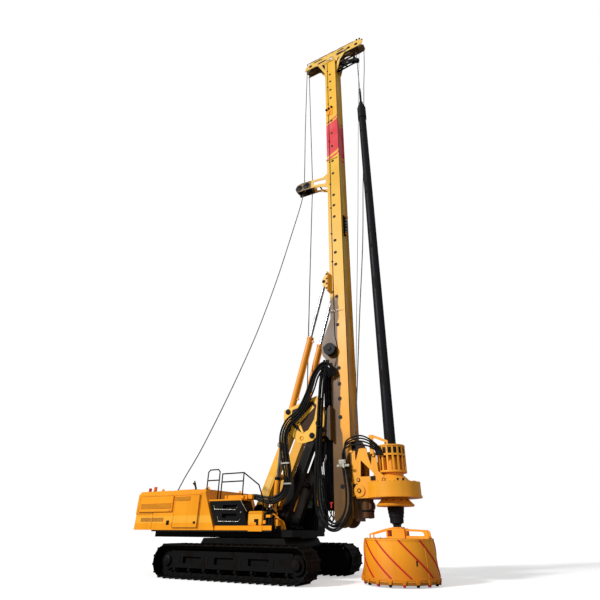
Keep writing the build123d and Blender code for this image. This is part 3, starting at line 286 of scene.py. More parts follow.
def dirtyIron(name, paint, dirt, shine=0.45):
    # dark cast or rolled steel with caked soil in broad patches and bright rubbed edges
    f = Finish(name)
    caked = f.step(f.noise(2.2, 7.0), 0.50, 0.66)
    fine = f.noise(26.0, 6.0)
    colour = f.mix(caked * dirt, paint, paints["soil"])
    rubbed = f.edges(0.012, 0.04, 0.2) * f.step(f.noise(9.0, 4.0), 0.40, 0.58)
    colour = f.mix(rubbed * 0.25, colour, shade(104, 100, 96))
    rough = shine + caked * 0.35 + fine * 0.15 - rubbed * 0.12
    return f.done(colour, rough, f.bump(fine + caked * 0.8, 0.004, 0.8), rubbed * 0.6,
                  Specular_IOR_Level=0.09)


def polishedRod(name):
    # ground chrome with fine rings and a thin film of oil
    f = Finish(name)
    rings = f.noise(3.0, 3.0, (6.0, 6.0, 60.0))
    film = f.step(f.noise(1.7, 5.0), 0.4, 0.7)
    colour = f.mix(film, shade(150, 154, 160), shade(96, 96, 98))
    return f.done(colour, 0.14 + film * 0.18 + rings * 0.05, f.bump(rings, 0.0006, 0.4), 0.85)


def wireRope(name, bright=(88, 90, 94)):
    # drawn steel wires, greased in patches; the fine lines run round with the strands
    f = Finish(name)
    greased = f.step(f.noise(1.4, 5.0), 0.4, 0.7)
    wires = f.noise(160.0, 2.0)
    colour = f.mix(greased, shade(*bright), shade(40, 40, 42))
    return f.done(colour, 0.42 + greased * 0.2 + wires * 0.12, f.bump(wires, 0.0012, 0.7), 0.35)


def rubber(name, colour=(11, 11, 12)):
    # matt hose cover with cloth-pressed grain, dusty in patches
    f = Finish(name)
    dusty = f.step(f.noise(4.0, 6.0), 0.48, 0.75)
    grain = f.noise(240.0, 2.0)
    base = f.mix(dusty * 0.12, shade(*colour), shade(104, 96, 84))
    return f.done(base, 0.52 + dusty * 0.3, f.bump(grain, 0.0008, 0.6), Specular_IOR_Level=0.16)


def platedSteel(name, colour=(168, 166, 156)):
    # zinc-plated fittings and bolts, dulled unevenly
    f = Finish(name)
    dull = f.step(f.noise(18.0, 5.0), 0.35, 0.7)
    base = f.mix(dull, shade(*colour), shade(110, 104, 92))
    return f.done(base, 0.32 + dull * 0.25, f.bump(f.noise(120.0, 3.0), 0.0006, 0.5), 0.8)


def glazing(name):
    # tinted cab glass with a dusty film in patches
    f = Finish(name)
    film = f.step(f.noise(2.6, 6.0), 0.42, 0.7) * 0.22
    return f.done(f.mix(film, shade(96, 112, 110), shade(150, 146, 132)), 0.05 + film * 0.8,
                  f.bump(f.noise(1.2, 2.0), 0.002, 0.3), 0.0, Transmission_Weight=0.85, IOR=1.45)


def wovenSeat(name):
    # black ribbed seat cloth: fine crossed threads over broad ribs across the seat
    f = Finish(name)
    threads = f.node("ShaderNodeTexVoronoi", inputs={"Vector": f.place, "Scale": 320.0})
    ribs = f.node("ShaderNodeTexWave", {"bands_direction": "Y"}, {"Vector": f.place, "Scale": 9.0}, 1)
    worn = f.step(f.noise(5.0, 5.0), 0.4, 0.7)
    return f.done(f.mix(worn, shade(34, 34, 36), shade(58, 56, 54)), 0.86,
                  f.bump(threads + ribs * 2.0, 0.003, 0.7),
                  0.0, Sheen_Weight=0.3)


def lamp(name, colour):
    # moulded lens with fine upright flutes
    f = Finish(name)
    flutes = f.node("ShaderNodeTexWave", {"bands_direction": "X"}, {"Vector": f.place, "Scale": 26.0}, 1)
    dust = f.step(f.noise(9.0, 5.0), 0.45, 0.75)
    return f.done(f.mix(dust * 0.3, shade(*colour), paints["dust"]), 0.16 + dust * 0.3,
                  f.bump(flutes, 0.003, 0.6),
                  0.0, Coat_Weight=0.6)


def roofLamps(name):
    # one red and one orange beacon on black feet, told apart by where they stand
    f = Finish(name)
    orange = f.step(f.x, slewX - 4.41, slewX - 4.39)
    flutes = f.node("ShaderNodeTexWave", {"bands_direction": "X"}, {"Vector": f.place, "Scale": 30.0}, 1)
    colour = f.mix(orange, shade(196, 26, 20), shade(244, 122, 16))
    base = f.mix(1 - f.step(f.z, 2.700, 2.706), colour, paints["black"])
    return f.done(base, 0.2 + f.noise(30.0) * 0.2, f.bump(flutes, 0.003, 0.5), 0.0, Coat_Weight=0.5)


bodyPaint = paintedSteel("bodyPaint", paints["body"], 0.26, 0.5)
hoodPaint = paintedSteel("hoodPaint", paints["body"], 0.20, 0.3, 0.30, hoodMarks, 0.2)
cabPaint = paintedSteel("cabPaint", paints["body"], 0.20, 0.3, 0.30, cabMarks)
boomPaint = paintedSteel("boomPaint", paints["boom"], 0.30, 0.7, 0.36)
barrelPaint = paintedSteel("barrelPaint", shade(252, 158, 34), 0.24, 0.5, 0.34)
palePaint = paintedSteel("palePaint", shade(250, 200, 104), 0.24, 0.5, 0.36)
# dark brown sheets over openings and panels: painted shade
shadeHollowPaint = paintedSteel("shadeHollowPaint", shade(58, 36, 20), 0.2, 0.4, 0.5, None, 0.12)
mastPaint = paintedSteel("mastPaint", paints["mast"], 0.24, 0.45, 0.36, mastTone)
bandPaint = paintedSteel("bandPaint", paints["mast"], 0.24, 0.45, 0.36, mastMarks)
# the head, the rope bracket and the carriage get painted shade between their side plates
headPaint = paintedSteel("headPaint", shade(246, 198, 96), 0.24, 0.6, 0.38, shadeInside(0.2305))
bracketPaint = paintedSteel("bracketPaint", shade(244, 190, 80), 0.24, 0.6, 0.38, bracketMarks)
drivePaint = paintedSteel("drivePaint", paints["drive"], 0.30, 0.7, 0.38)
carriagePaint = paintedSteel("carriagePaint", paints["drive"], 0.30, 0.7, 0.38, shadeInside(0.3995))
bucketPaint = paintedSteel("bucketPaint", paints["bucket"], 0.30, 0.8, 0.42, bucketFade)
toothPaint = paintedSteel("toothPaint", paints["bucket"], 0.30, 0.9, 0.45, toothTips)
frameBlack = paintedSteel("frameBlack", paints["black"], 0.08, 0.3, 0.42, None, 0.09)
deckPaint = paintedSteel("deckPaint", paints["black"], 0.08, 0.3, 0.42, deckMarks, 0.09)
# the link's near-black brown is painted shade over what is yellow paint
linkShadePaint = paintedSteel("linkShadePaint", shade(28, 21, 15), 0.14, 0.4, 0.42, None, 0.09)
railBlack = paintedSteel("railBlack", shade(8, 8, 9), 0.08, 0.3, 0.34, None, 0.09)
redPaint = paintedSteel("redPaint", paints["signal"], 0.20, 0.6, 0.36)
wheelPaint = paintedSteel("wheelPaint", shade(104, 72, 34), 0.30, 0.6, 0.45)
# dark orange-brown: painted shade in the louvres' gaps and round the hood doors
louvreShadePaint = paintedSteel("louvreShadePaint", shade(150, 82, 14), 0.30, 0.3, 0.5)
kellySteel = dirtyIron("kellySteel", paints["kelly"], 0.10, 0.38)
trackSteel = dirtyIron("trackSteel", paints["track"], 0.07, 0.52)
wheelIron = dirtyIron("wheelIron", shade(13, 12, 13), 0.08, 0.45)
wornRail = dirtyIron("wornRail", shade(120, 88, 50), 0.45, 0.4)
engineIron = dirtyIron("engineIron", shade(92, 94, 96), 0.25, 0.46)
rodChrome = polishedRod("rodChrome")
ropeSteel = wireRope("ropeSteel")
drumRope = wireRope("drumRope", (92, 92, 94))
hoseRubber = rubber("hoseRubber")
sealRubber = rubber("sealRubber", (15, 15, 16))
# near black for dark joints, and for painted shade in holes, slots and gaps
jointAndShadeDark = rubber("jointAndShadeDark", (12, 11, 12))
zincSteel = platedSteel("zincSteel")
brassSteel = platedSteel("brassSteel", (176, 150, 92))
cabGlass = glazing("cabGlass")
seatCloth = wovenSeat("seatCloth")
lampLens = roofLamps("lampLens")
clearLens = lamp("clearLens", (226, 230, 232))
redLens = lamp("redLens", (186, 22, 20))
print("finishes made")

# The finish of each fixed piece; anything not named here gets the body paint
finishOf = {
    hoodPaint: ("engine_hood", "counterweight", "hood_door_rear_right", "hood_door_mid_right",
                "hood_door_rear_left",
                "hood_door_mid_left", "tool_box", "step_cover", "door_hinges"),
    cabPaint: ("cab_shell", "cab_door"), boomPaint: ("boom", "carrier"),
    barrelPaint: ("luff_barrels", "backstay_barrels"),
    mastPaint: ("mast_lower",), headPaint: ("mast_head",), bracketPaint: ("rope_bracket",),
    bandPaint: ("mast_upper", "mast_middle"), deckPaint: ("deck_frame",), linkShadePaint: ("link",),
    drivePaint: ("drive_gearbox", "motor_cage", "drive_sleeve", "drive_lever"),
    carriagePaint: ("drive_carriage",),
    bucketPaint: ("bucket_shell", "bucket_frame"),
    toothPaint: ("bucket_door",),
    frameBlack: ("car_body", "slew_ring", "step_box", "valve_bank", "main_winch_frame", "main_winch_drum",
                 "aux_winch_drum", "hose_reel", "rope_arm"),
    railBlack: ("handrails",),
    kellySteel: ("kelly", "kelly_swivel"),
    trackSteel: ("track_loop_right", "track_loop_left", "track_frame_right", "track_frame_left"),
    wheelIron: ("sheave_guide_rear", "sheave_guide_front"),
    wheelPaint: ("sheaves_rear", "sheave_main", "sheave_aux"),
    engineIron: ("engine",), rodChrome: ("luff_rods", "backstay_rods"), cabGlass: ("cab_glass",),
    seatCloth: ("cab_seat",), lampLens: ("roof_lamps",),
}
slotOf = {row["node"]: row["material_slot"] for row in frame["record"]["subparts"]}
for node in nodes.values():
    node.data.materials.clear()
    node.data.materials.append(bodyPaint)
for finish, names in finishOf.items():
    for name in names:
        nodes[name].data.materials[0] = finish
for name, slotName in slotOf.items():
    if slotName == "frame_black" and nodes[name].data.materials[0] == bodyPaint:
        nodes[name].data.materials[0] = frameBlack


# Surfaces: each part is its points and a few tables of faces, all worked out as whole arrays
nearSide = (0, -1, 0)
crosswise = np.array([0.0, 1.0, 0.0])
square = np.array([[-1, -1], [1, -1], [1, 1], [-1, 1]], float)
boxFaces = np.array([[0, 3, 2, 1], [4, 5, 6, 7], [0, 1, 5, 4], [1, 2, 6, 5], [2, 3, 7, 6], [3, 0, 4, 7]])
hands = (("right", -1), ("left", 1))


def unit(v):
    return v / np.linalg.norm(v, axis=-1, keepdims=True)


def skin(points):
    # a grid of rings joined by four-sided faces, with one closing face at each end
    rows, columns = points.shape[:2]
    r, c = np.meshgrid(np.arange(rows - 1), np.arange(columns), indexing="ij")
    after = (c + 1) % columns
    quads = np.stack([r * columns + c, r * columns + after, (r + 1) * columns + after, (r + 1) * columns + c],
                     -1)
    ends = np.stack([np.arange(columns)[::-1], np.arange(columns) + (rows - 1) * columns])
    return points.reshape(-1, 3), [quads.reshape(-1, 4), ends]


def copies(shapes, tables):
    # many shapes of one kind as one part: points by shape and corner, tables for the corners of one shape
    shapes = np.asarray(shapes, float)
    step = shapes.shape[1] * np.arange(len(shapes))[:, None, None]
    return shapes.reshape(-1, 3), [(np.asarray(t) + step).reshape(-1, np.shape(t)[1]) for t in tables]


def tube(path, radius, sides=10, up=(0, 1, 0), lobes=0, depth=0.0, pitch=1.0):
    # path + radius * (cos a * first + sin a * second); a rope's strands are lobes that turn once a pitch
    path = np.asarray(path, float)
    along = unit(np.gradient(path, axis=0))
    second = unit(np.cross(along, up))
    first = np.cross(second, along)
    angle = np.linspace(0, 2 * np.pi, sides, endpoint=False)
    reach = radius * np.ones((len(path), sides, 1))
    if lobes:
        reach = reach * (1 + depth * np.cos(lobes * angle))[:, None]
        run = np.concatenate([[0.0], np.cumsum(np.linalg.norm(np.diff(path, axis=0), axis=1))])
        angle = angle + 2 * np.pi * run[:, None] / pitch
    cosine, sine = np.cos(angle)[..., None], np.sin(angle)[..., None]
    return skin(path[:, None] + reach * (cosine * first[:, None] + sine * second[:, None]))


def smooth(points, steps=10):
    # a line through the points: on each stretch the cubic whose end slopes come from the neighbours
    p = np.asarray(points, float)
    p = np.vstack([2 * p[0] - p[1], p, 2 * p[-1] - p[-2]])
    u = np.linspace(0, len(p) - 3, steps * (len(p) - 3) + 1)
    i = np.minimum(u.astype(int), len(p) - 4)
    t = (u - i)[:, None]
    a, b, c, d = p[i], p[i + 1], p[i + 2], p[i + 3]
    return 0.5 * (2 * b + (c - a) * t + (2 * a - 5 * b + 4 * c - d) * t**2 + (3 * b - a - 3 * c + d) * t**3)


def resampled(path, gap):
    # the same line with points an even gap apart
    path = np.asarray(path, float)
    run = np.concatenate([[0.0], np.cumsum(np.linalg.norm(np.diff(path, axis=0), axis=1))])
    at = np.linspace(0, run[-1], max(int(run[-1] / gap), 2) + 1)
    return np.stack([np.interp(at, run, path[:, i]) for i in range(3)], -1)


def bar(points, radius, gap=0.05, sides=10):
    # a round bar along straight stretches
    return tube(resampled(points, gap), radius, sides)


def hose(points, radius, steps=10, gap=0.05, sides=10):
    # a round bar along the smooth line through the points
    return bar(smooth(points, steps), radius, gap, sides)


def spokesRound(axis, count):
    # even unit spokes at right angles to an axis: cos a * first + sin a * second
    helper = (0, 0, 1) if abs(axis[2]) < 0.9 else (1, 0, 0)
    second = unit(np.cross(axis, helper))
    first = np.cross(second, axis)
    angle = np.linspace(0, 2 * np.pi, count, endpoint=False)[:, None]
    return np.cos(angle) * first + np.sin(angle) * second


def turned(profile, base, axis=(0, 0, 1), sides=24):
    # a profile of (radius, distance) pairs carried round an axis through base
    axis = np.asarray(axis, float)
    profile = np.asarray(profile, float)
    centre = np.asarray(base, float) + profile[:, 1:] * axis
    return skin(centre[:, None] + profile[:, :1, None] * spokesRound(axis, sides))


def ring(radius, thick, base, axis=(0, 0, 1), sides=24, around=8):
    # a closed ring: a small circle of radius thick carried round a large one
    axis = np.asarray(axis, float)
    small = np.linspace(0, 2 * np.pi, around, endpoint=False)[:, None]
    reach = spokesRound(axis, sides)[:, None] * (radius + thick * np.cos(small))
    points = np.asarray(base, float) + reach + axis * (thick * np.sin(small))
    r, c = np.meshgrid(np.arange(sides), np.arange(around), indexing="ij")
    later, beside = (r + 1) % sides * around, (c + 1) % around
    quads = np.stack([r * around + c, later + c, later + beside, r * around + beside], -1)
    return points.reshape(-1, 3), [quads.reshape(-1, 4)]


def slab(outline, shift):
    # a flat outline and its copy moved by shift, joined round the rim
    points = np.asarray(outline, float)
    shift = np.asarray(shift, float)
    area = np.cross(points, np.roll(points, -1, axis=0)).sum(0)
    if area @ shift > 0:
        points = points[::-1]
    n = len(points)
    i = np.arange(n)
    rim = np.stack([i, i + n, (i + 1) % n + n, (i + 1) % n], -1)
    return np.vstack([points, points + shift]), [np.stack([i, i[::-1] + n]), rim]


def plate(outline, low, high):
    # an upright plate along the machine: its outline is (x, z), its lane runs from low to high in y
    return slab([(x, low, z) for x, z in outline], (0, high - low, 0))


def boxes(starts, ends):
    # many boxes at once, each from one corner to the opposite one
    starts, ends = np.atleast_2d(np.asarray(starts, float)), np.atleast_2d(np.asarray(ends, float))
    lows, highs = np.minimum(starts, ends), np.maximum(starts, ends)
    pick = np.array([[0, 0, 0], [1, 0, 0], [1, 1, 0], [0, 1, 0], [0, 0, 1], [1, 0, 1], [1, 1, 1], [0, 1, 1]])
    return copies(lows[:, None] + (highs - lows)[:, None] * pick, [boxFaces])


def sheets(rows, low, high):
    # flat boxes on a side face, between two lanes of y: each row is x and z of one corner and of the other
    rows = np.asarray(rows, float)
    return boxes(np.insert(rows[:, :2], 1, low, 1), np.insert(rows[:, 2:], 1, high, 1))


def repeated(part, places):
    # the part once at each place, as one part
    points, tables = part
    return copies(points + np.asarray(places, float)[:, None], tables)


def mirrored(part):
    # the same part on the other side of the machine, its faces turned the right way again
    points, tables = part
    return points * (1, -1, 1), [t[:, ::-1] for t in tables]


def both(parts):
    return parts + [mirrored(p) for p in parts]


def caps(profile, places, axis=(0, 0, 1), sides=24):
    # the same turned shape at several places
    return repeated(turned(profile, (0, 0, 0), axis, sides), places)


def bolts(places, axis, radius=0.014, height=0.012):
    # hexagon heads on washers
    rim = radius * 1.5
    return caps([(rim, 0.0), (rim, height * 0.25), (radius, height * 0.25), (radius, height)], places, axis,
                6)


def circleOf(count, radius, centre, axis="z", start=0.0):
    # evenly spaced places on a circle round an axis
    angle = start + np.linspace(0, 2 * np.pi, count, endpoint=False)
    a, b, zero = radius * np.cos(angle), radius * np.sin(angle), np.zeros(count)
    order = {"z": (a, b, zero), "y": (a, zero, b), "x": (zero, a, b)}[axis]
    return np.asarray(centre, float) + np.stack(order, -1)


def addPiece(name, body, material, parts, bevel=0.0):
    # joins the parts into one mesh in the row frame and lets it ride a body
    faces, start = [], 0
    for points, tables in parts:
        for table in tables:
            faces.extend((table + start).tolist())
        start += len(points)
    mesh = bpy.data.meshes.new(name)
    mesh.from_pydata((np.concatenate([p for p, _ in parts]) + (slewX, 0, 0)).tolist(), [], faces)
    mesh.polygons.foreach_set("use_smooth", np.ones(len(mesh.polygons), bool))
    mesh.set_sharp_from_angle(angle=math.radians(35))
    mesh.materials.append(material)
    piece = bpy.data.objects.new(name, mesh)
    bpy.context.scene.collection.objects.link(piece)
    if bevel:
        rounding = piece.modifiers.new("rounding", "BEVEL")
        rounding.width = bevel
        rounding.segments = 2
        rounding.limit_method = "ANGLE"
        rounding.angle_limit = math.radians(40)
    if body:
        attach(piece, body)
    return piece


def blended(name, material, parts):
    # a piece that rides no body, with its placement baked into its points
    piece = addPiece(name, None, material, parts)
    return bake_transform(piece)


# Tracks and lower frame: the loop, its shoes and rollers, and what closes the frame between the tracks
tracks = {
    "y": 1.6885, "length": 5.925, "height": 0.990, "shoes": 50,
    "studLanes": (-0.30, -0.13, 0.13, 0.30), "linkLanes": (-0.135, 0.115), "linkReach": (0.098, 0.034),
    "rollerX": 2.1475, "rollerZ": 0.250, "endWheels": ((-2.4675, 0.150), (2.4675, 0.135)), "axleZ": 0.495,
    "ribX": (-1.98, -0.80, 0.50, 1.66), "screwX": (-1.45, -0.15, 1.15),
    "guard": ((-2.45, 0.14), (2.45, 0.14), (2.72, 0.36), (2.72, 0.66),
              (2.42, 0.88), (-2.42, 0.88), (-2.72, 0.66), (-2.72, 0.36)),
    "cover": ((1.72, 0.86), (1.72, 0.99), (1.62, 1.145)), "coverHalf": 1.235,
}


def onLoop(share, inset):
    # place and outward direction on the loop, a share of the way round: two straight runs and two
    # half circles
    radius = tracks["height"] / 2
    half = tracks["length"] / 2 - radius
    bend = np.pi * radius
    s = np.asarray(share, float) % 1.0 * (4 * half + 2 * bend)
    stretch = [s < 2 * half, s < 2 * half + bend, s < 4 * half + bend]
    turn = np.select(stretch, [0 * s, (s - 2 * half) / radius, 0 * s + np.pi],
                     (s - 4 * half - bend) / radius + np.pi)
    x = np.select(stretch, [s - half, 0 * s + half, 3 * half + bend - s], 0 * s - half)
    out = np.stack([np.sin(turn), 0 * s, -np.cos(turn)], -1)
    return np.stack([x, 0 * s, 0 * s + radius], -1) + out * (radius - inset), out


def shoeStuds(lane):
    # four square studs on each shoe between the grousers, narrower at their heads
    at, out = onLoop((np.arange(tracks["shoes"]) + 0.80) / tracks["shoes"], 0.036)
    out = out[:, None]
    forward = np.cross(crosswise, out)
    studs = []
    for across in tracks["studLanes"]:
        middle = (at + (0, lane + across, 0))[:, None]
        foot = middle + 0.020 * (forward * square[:, :1] + crosswise * square[:, 1:])
        head = middle + 0.7 * (foot - middle) + out * 0.013
        studs.append(copies(np.concatenate([foot - out * 0.004, head], 1), [boxFaces[:, ::-1]]))
    return studs


def chainLinks(lane):
    # oval plates 20 mm thick beside the chain, their long axis along the loop
    at, out = onLoop(np.arange(tracks["shoes"]) / tracks["shoes"] + 0.01, 0.118)
    forward = np.cross(crosswise, out)
    angle = np.linspace(0, 2 * np.pi, 10, endpoint=False)[:, None]
    long, short = tracks["linkReach"]
    face = at[:, None] + forward[:, None] * long * np.cos(angle) + out[:, None] * short * np.sin(angle)
    i = np.arange(10)
    tables = [np.stack([i, (i + 1) % 10, (i + 1) % 10 + 10, i + 10], -1), np.stack([i[::-1], i + 10])]
    links = []
    for across in tracks["linkLanes"]:
        near = face + (0, lane + across, 0)
        links.append(copies(np.concatenate([near, near + (0, 0.020, 0)], 1), tables))
    return links


def rollerCaps(sign):
    # caps of the rollers and end wheels, ribs and cover screws on the outer face of the track frame
    side, hub, outward = sign * (tracks["y"] + 0.21), sign * (tracks["y"] + 0.26), (0, sign, 0)
    parts = []
    for x in np.linspace(-tracks["rollerX"], tracks["rollerX"], 8):
        at = (x, side, tracks["rollerZ"])
        parts.append(turned([(0.042, 0.0), (0.042, 0.010), (0.030, 0.018), (0.012, 0.020)], at, outward, 16))
        parts.append(bolts(circleOf(4, 0.062, at, "y", 0.4), outward, 0.008, 0.008))
    for x, reach in tracks["endWheels"]:
        profile = [(reach, -0.02), (reach, 0.010), (reach - 0.02, 0.022), (0.070, 0.026), (0.055, 0.040),
                   (0.020, 0.044)]
        parts.append(turned(profile, (x, hub, tracks["axleZ"]), outward, 32))
        places = circleOf(10, reach - 0.035, (x, hub + sign * 0.016, tracks["axleZ"]), "y")
        parts.append(bolts(places, outward, 0.011, 0.014))
    parts.append(sheets([(x - 0.022, 0.42, x + 0.022, 0.62) for x in tracks["ribX"]], side,
                        side + sign * 0.016))
    places = [(x + a, side, z) for x in tracks["screwX"] for a in (-0.34, 0.0, 0.34) for z in (0.395, 0.645)]
    parts.append(bolts(places, outward, 0.010, 0.010))
    return parts


def dressTracks():
    for hand, sign in hands:
        lane = sign * tracks["y"]
        addPiece(f"shoe_bolts_{hand}", "undercarriage", wheelIron, shoeStuds(lane))
        addPiece(f"chain_links_{hand}", "undercarriage", trackSteel, chainLinks(lane))
        addPiece(f"roller_caps_{hand}", "undercarriage", wheelIron, rollerCaps(sign), 0.002)
        # plates behind the rollers, within the loop of the shoes
        inner = sign * (tracks["y"] - 0.245)
        guard = [plate(tracks["guard"], inner, inner - sign * 0.012)]
        guard.append(sheets([(x - 0.05, 0.15, x + 0.05, 0.87) for x in np.linspace(-2.1, 2.1, 8)],
                            inner, inner + sign * 0.02))
        addPiece(f"roller_guard_{hand}", "undercarriage", trackSteel, guard, 0.003)
    # the lower frame's top: a flared box between the tracks, 5 mm under the turning deck
    levels = [np.column_stack([square * (x, tracks["coverHalf"]), np.full(4, z)]) for x, z in tracks["cover"]]
    addPiece("frame_cover", "undercarriage", frameBlack, [skin(np.array(levels))], bevel=0.01)
    ringBolts = bolts(circleOf(36, 0.72, (0, 0, 1.0)), (0, 0, 1), 0.016, 0.02)
    addPiece("ring_bolts", "undercarriage", zincSteel, [ringBolts])


dressTracks()
print("tracks dressed")


# Hood, doors and tail
hood = {
    "side": -1.503, "roof": 2.677, "tail": -4.824,
    "seams": ((-3.961, 1.905, -3.949, 2.555), (-1.696, 1.39, -1.684, 2.555), (-4.80, 1.900, -3.92, 1.912)),
    "roofSeams": (-3.60, -1.95), "vents": (-0.62, 0.02), "slats": np.arange(-3.42, -2.99, 0.055),
    "eye": ((-0.075, 0.0), (0.075, 0.0), (0.055, 0.085), (0.0, 0.125), (-0.055, 0.085)),
    "eyesX": (-4.10, -1.85), "louvres": ((-4.50, -3.97), (-3.94, -3.36)), "louvreRows": 5,
    "ballastBolts": (-1.30, -0.74, -0.26, 0.26, 0.74, 1.30), "forkX": -2.42,
}
# from and to in x and z, the grilles in x, the lowest slot, the number of slots and the latch's height
doors = {
    "rear": (-4.67, -2.98, 1.96, 2.50, ((-4.57, -3.83), (-3.79, -3.05)), 2.08, 5, 2.02),
    "mid": (-2.88, -1.74, 1.45, 2.50, ((-2.83, -2.17),), 2.32, 4, 1.61),
}


def dressHood():
    roof, side = hood["roof"], hood["side"]
    # joint strips between the panels, on both sides and over the roof
    seams = both([sheets(hood["seams"], side, side + 0.004)])
    seams += [boxes((x - 0.007, -1.36, roof - 0.001), (x + 0.007, 1.36, roof + 0.003))
              for x in hood["roofSeams"]]
    addPiece("hood_seams", "upper", jointAndShadeDark, seams)
    vents = [boxes((-2.95, y, 2.752), (-2.62, y + 0.60, 2.760)) for y in hood["vents"]]
    vents += [boxes((x, -0.62, 2.748), (x + 0.022, 0.62, 2.762)) for x in hood["slats"]]
    addPiece("roof_vents", "upper", frameBlack, vents, 0.002)
    places = [(x, y, roof) for x in hood["eyesX"] for y in (-1.0, 1.0)]
    addPiece("lifting_eyes", "upper", hoodPaint, [repeated(plate(hood["eye"], -0.014, 0.014), places)],
             0.004)
    places = [(x, y, roof) for x in np.arange(-4.6, -1.7, 0.29) for y in (-1.33, 1.33)]
    addPiece("roof_bolts", "upper", zincSteel, [bolts(places, (0, 0, 1), 0.009, 0.008)])
    # dark lines of a low louvre across the ballast's joint, painted shade of its gaps, and a black pull below
    # each row of doors
    steps = 1.650 + 0.026 * np.arange(hood["louvreRows"])
    slats = [(a, z, b, z + 0.014) for z in steps for a, b in hood["louvres"]]
    addPiece("low_louvres", "upper", louvreShadePaint, both([sheets(slats, -1.507, -1.498)]), 0.002)
    pulls = [boxes([(-3.20, -1.512, 1.54), (-3.175, -1.522, 1.60)],
                   [(-3.07, -1.499, 1.68), (-3.095, -1.511, 1.625)])]
    addPiece("hood_pulls", "upper", frameBlack, both(pulls), bevel=0.003)


def dressTail():
    # cast ballast blocks with joints and rear bolts, the tail lamps, and the forked exhaust end on the roof
    x = hood["tail"]
    joints = [boxes([(x - 0.005, -0.506, 1.40), (x - 0.005, 0.494, 1.40), (x - 0.005, -1.43, 1.636)],
                    [(x + 0.001, -0.494, 1.89), (x + 0.001, 0.506, 1.89), (x + 0.001, 1.43, 1.646)])]
    addPiece("ballast_joints", "upper", jointAndShadeDark, joints)
    places = [(x, y, z) for y in hood["ballastBolts"] for z in (1.47, 1.81)]
    addPiece("ballast_bolts", "upper", frameBlack, [bolts(places, (-1, 0, 0), 0.030, 0.026)])
    profile = [(0.060, 0.0), (0.060, 0.03), (0.045, 0.045), (0.01, 0.05)]
    addPiece("tail_lamps", "upper", redLens,
             [caps(profile, [(x, -1.30, 2.06), (x, 1.30, 2.06)], (-1, 0, 0), 20)])
    start = hood["forkX"]
    fork = [[(0, 2.68), (-0.02, 2.78), (-0.08, 2.88), (-0.16, 2.94)],
            [(-0.02, 2.76), (-0.06, 2.90), (-0.12, 3.02)]]
    pipes = [smooth([(start + x, -1.02, z) for x, z in line]) for line in fork]
    foot = turned([(0.070, 0.0), (0.070, 0.016), (0.045, 0.03)], (start, -1.02, hood["roof"]), sides=20)
    addPiece("roof_fork", "upper", frameBlack, [tube(pipes[0], 0.034, 16), tube(pipes[1], 0.024, 14), foot])


def dressDoor(kind, hand, sign):
    # painted shade in slots behind the slats and in a dark strip round the door's edge, and the latch with
    # its pull
    lowX, highX, lowZ, highZ, grilles, firstZ, count, latchZ = doors[kind]
    face = sign * 1.542
    steps = [firstZ + 0.022 + i * 0.038 for i in range(count - 1)]
    slots = [(a - 0.01, z, b + 0.01, z + 0.016) for a, b in grilles for z in steps]
    slots += [(a - 0.012, firstZ - 0.014, b + 0.012, firstZ) for a, b in grilles]
    edge = [(lowX + 0.004, lowZ, lowX + 0.016, highZ), (highX - 0.012, lowZ, highX, highZ),
            (lowX + 0.004, lowZ, highX, lowZ + 0.012), (lowX + 0.004, highZ - 0.012, highX, highZ)]
    dark = [sheets(slots, face, face + sign * 0.002), sheets(edge, face, face + sign * 0.0015)]
    addPiece(f"door_slots_{kind}_{hand}", f"door_{kind}_{hand}", louvreShadePaint, dark)
    latch = [sheets([(highX - 0.17, latchZ - 0.035, highX - 0.07, latchZ + 0.035)], face,
                    face + sign * 0.010),
             turned([(0.018, 0.0), (0.018, 0.016), (0.012, 0.020)], (highX - 0.12, face, latchZ),
                    (0, sign, 0), 16),
             sheets([(highX - 0.155, latchZ - 0.007, highX - 0.085, latchZ + 0.007)], face,
                    face + sign * 0.026)]
    finish = hoodPaint if kind == "rear" else frameBlack
    addPiece(f"door_latch_{kind}_{hand}", f"door_{kind}_{hand}", finish, latch, 0.002)


dressHood()
dressTail()
for hand, sign in hands:
    for kind in doors:
        dressDoor(kind, hand, sign)
print("hood dressed")


# Winch drums: turns of rope side by side, and the bolts of the drums' flanges
winches = {"main": (-4.32, 0, 2.33), "aux": (1.96, 0, 4.96)}


def woundRope(centre, radius, half, rope):
    # radius + rope * |bulge of each turn|, carried round the drum's axis
    turns = int(2 * half / (2 * rope))
    y = np.linspace(-half, half, turns * 6 + 1)
    phase = (y + half) / (2 * rope) % 1.0
    bulge = np.sqrt(np.clip(1 - (2 * phase - 1) ** 2, 0, 1))
    return turned(np.stack([radius + rope * (0.4 + bulge), y], -1), centre, (0, 1, 0), 40)


def dressDrums():
    main, aux = np.array(winches["main"]), np.array(winches["aux"])
    addPiece("main_drum_rope", "main_winch", drumRope, [woundRope(main, 0.318, 0.405, 0.015)])
    addPiece("aux_drum_rope", "aux_winch", drumRope, [woundRope(aux, 0.258, 0.286, 0.012)])
    flange = bolts(circleOf(12, 0.36, main - 0.44 * crosswise, "y"), nearSide, 0.014, 0.012)
    addPiece("main_drum_bolts", "main_winch", zincSteel, both([flange]))
    flange = bolts(circleOf(10, 0.285, aux - 0.32 * crosswise, "y"), nearSide, 0.010, 0.010)
    addPiece("aux_drum_bolts", "aux_winch", zincSteel, both([flange]))
    hub = [turned([(0.115, 0.0), (0.115, 0.014), (0.085, 0.020), (0.020, 0.020)], main - 0.512 * crosswise,
                  nearSide, 28),
           bolts(circleOf(8, 0.098, main - 0.526 * crosswise, "y"), nearSide, 0.008, 0.010)]
    addPiece("main_winch_hubs", "main_winch", frameBlack, both(hub))


dressDrums()


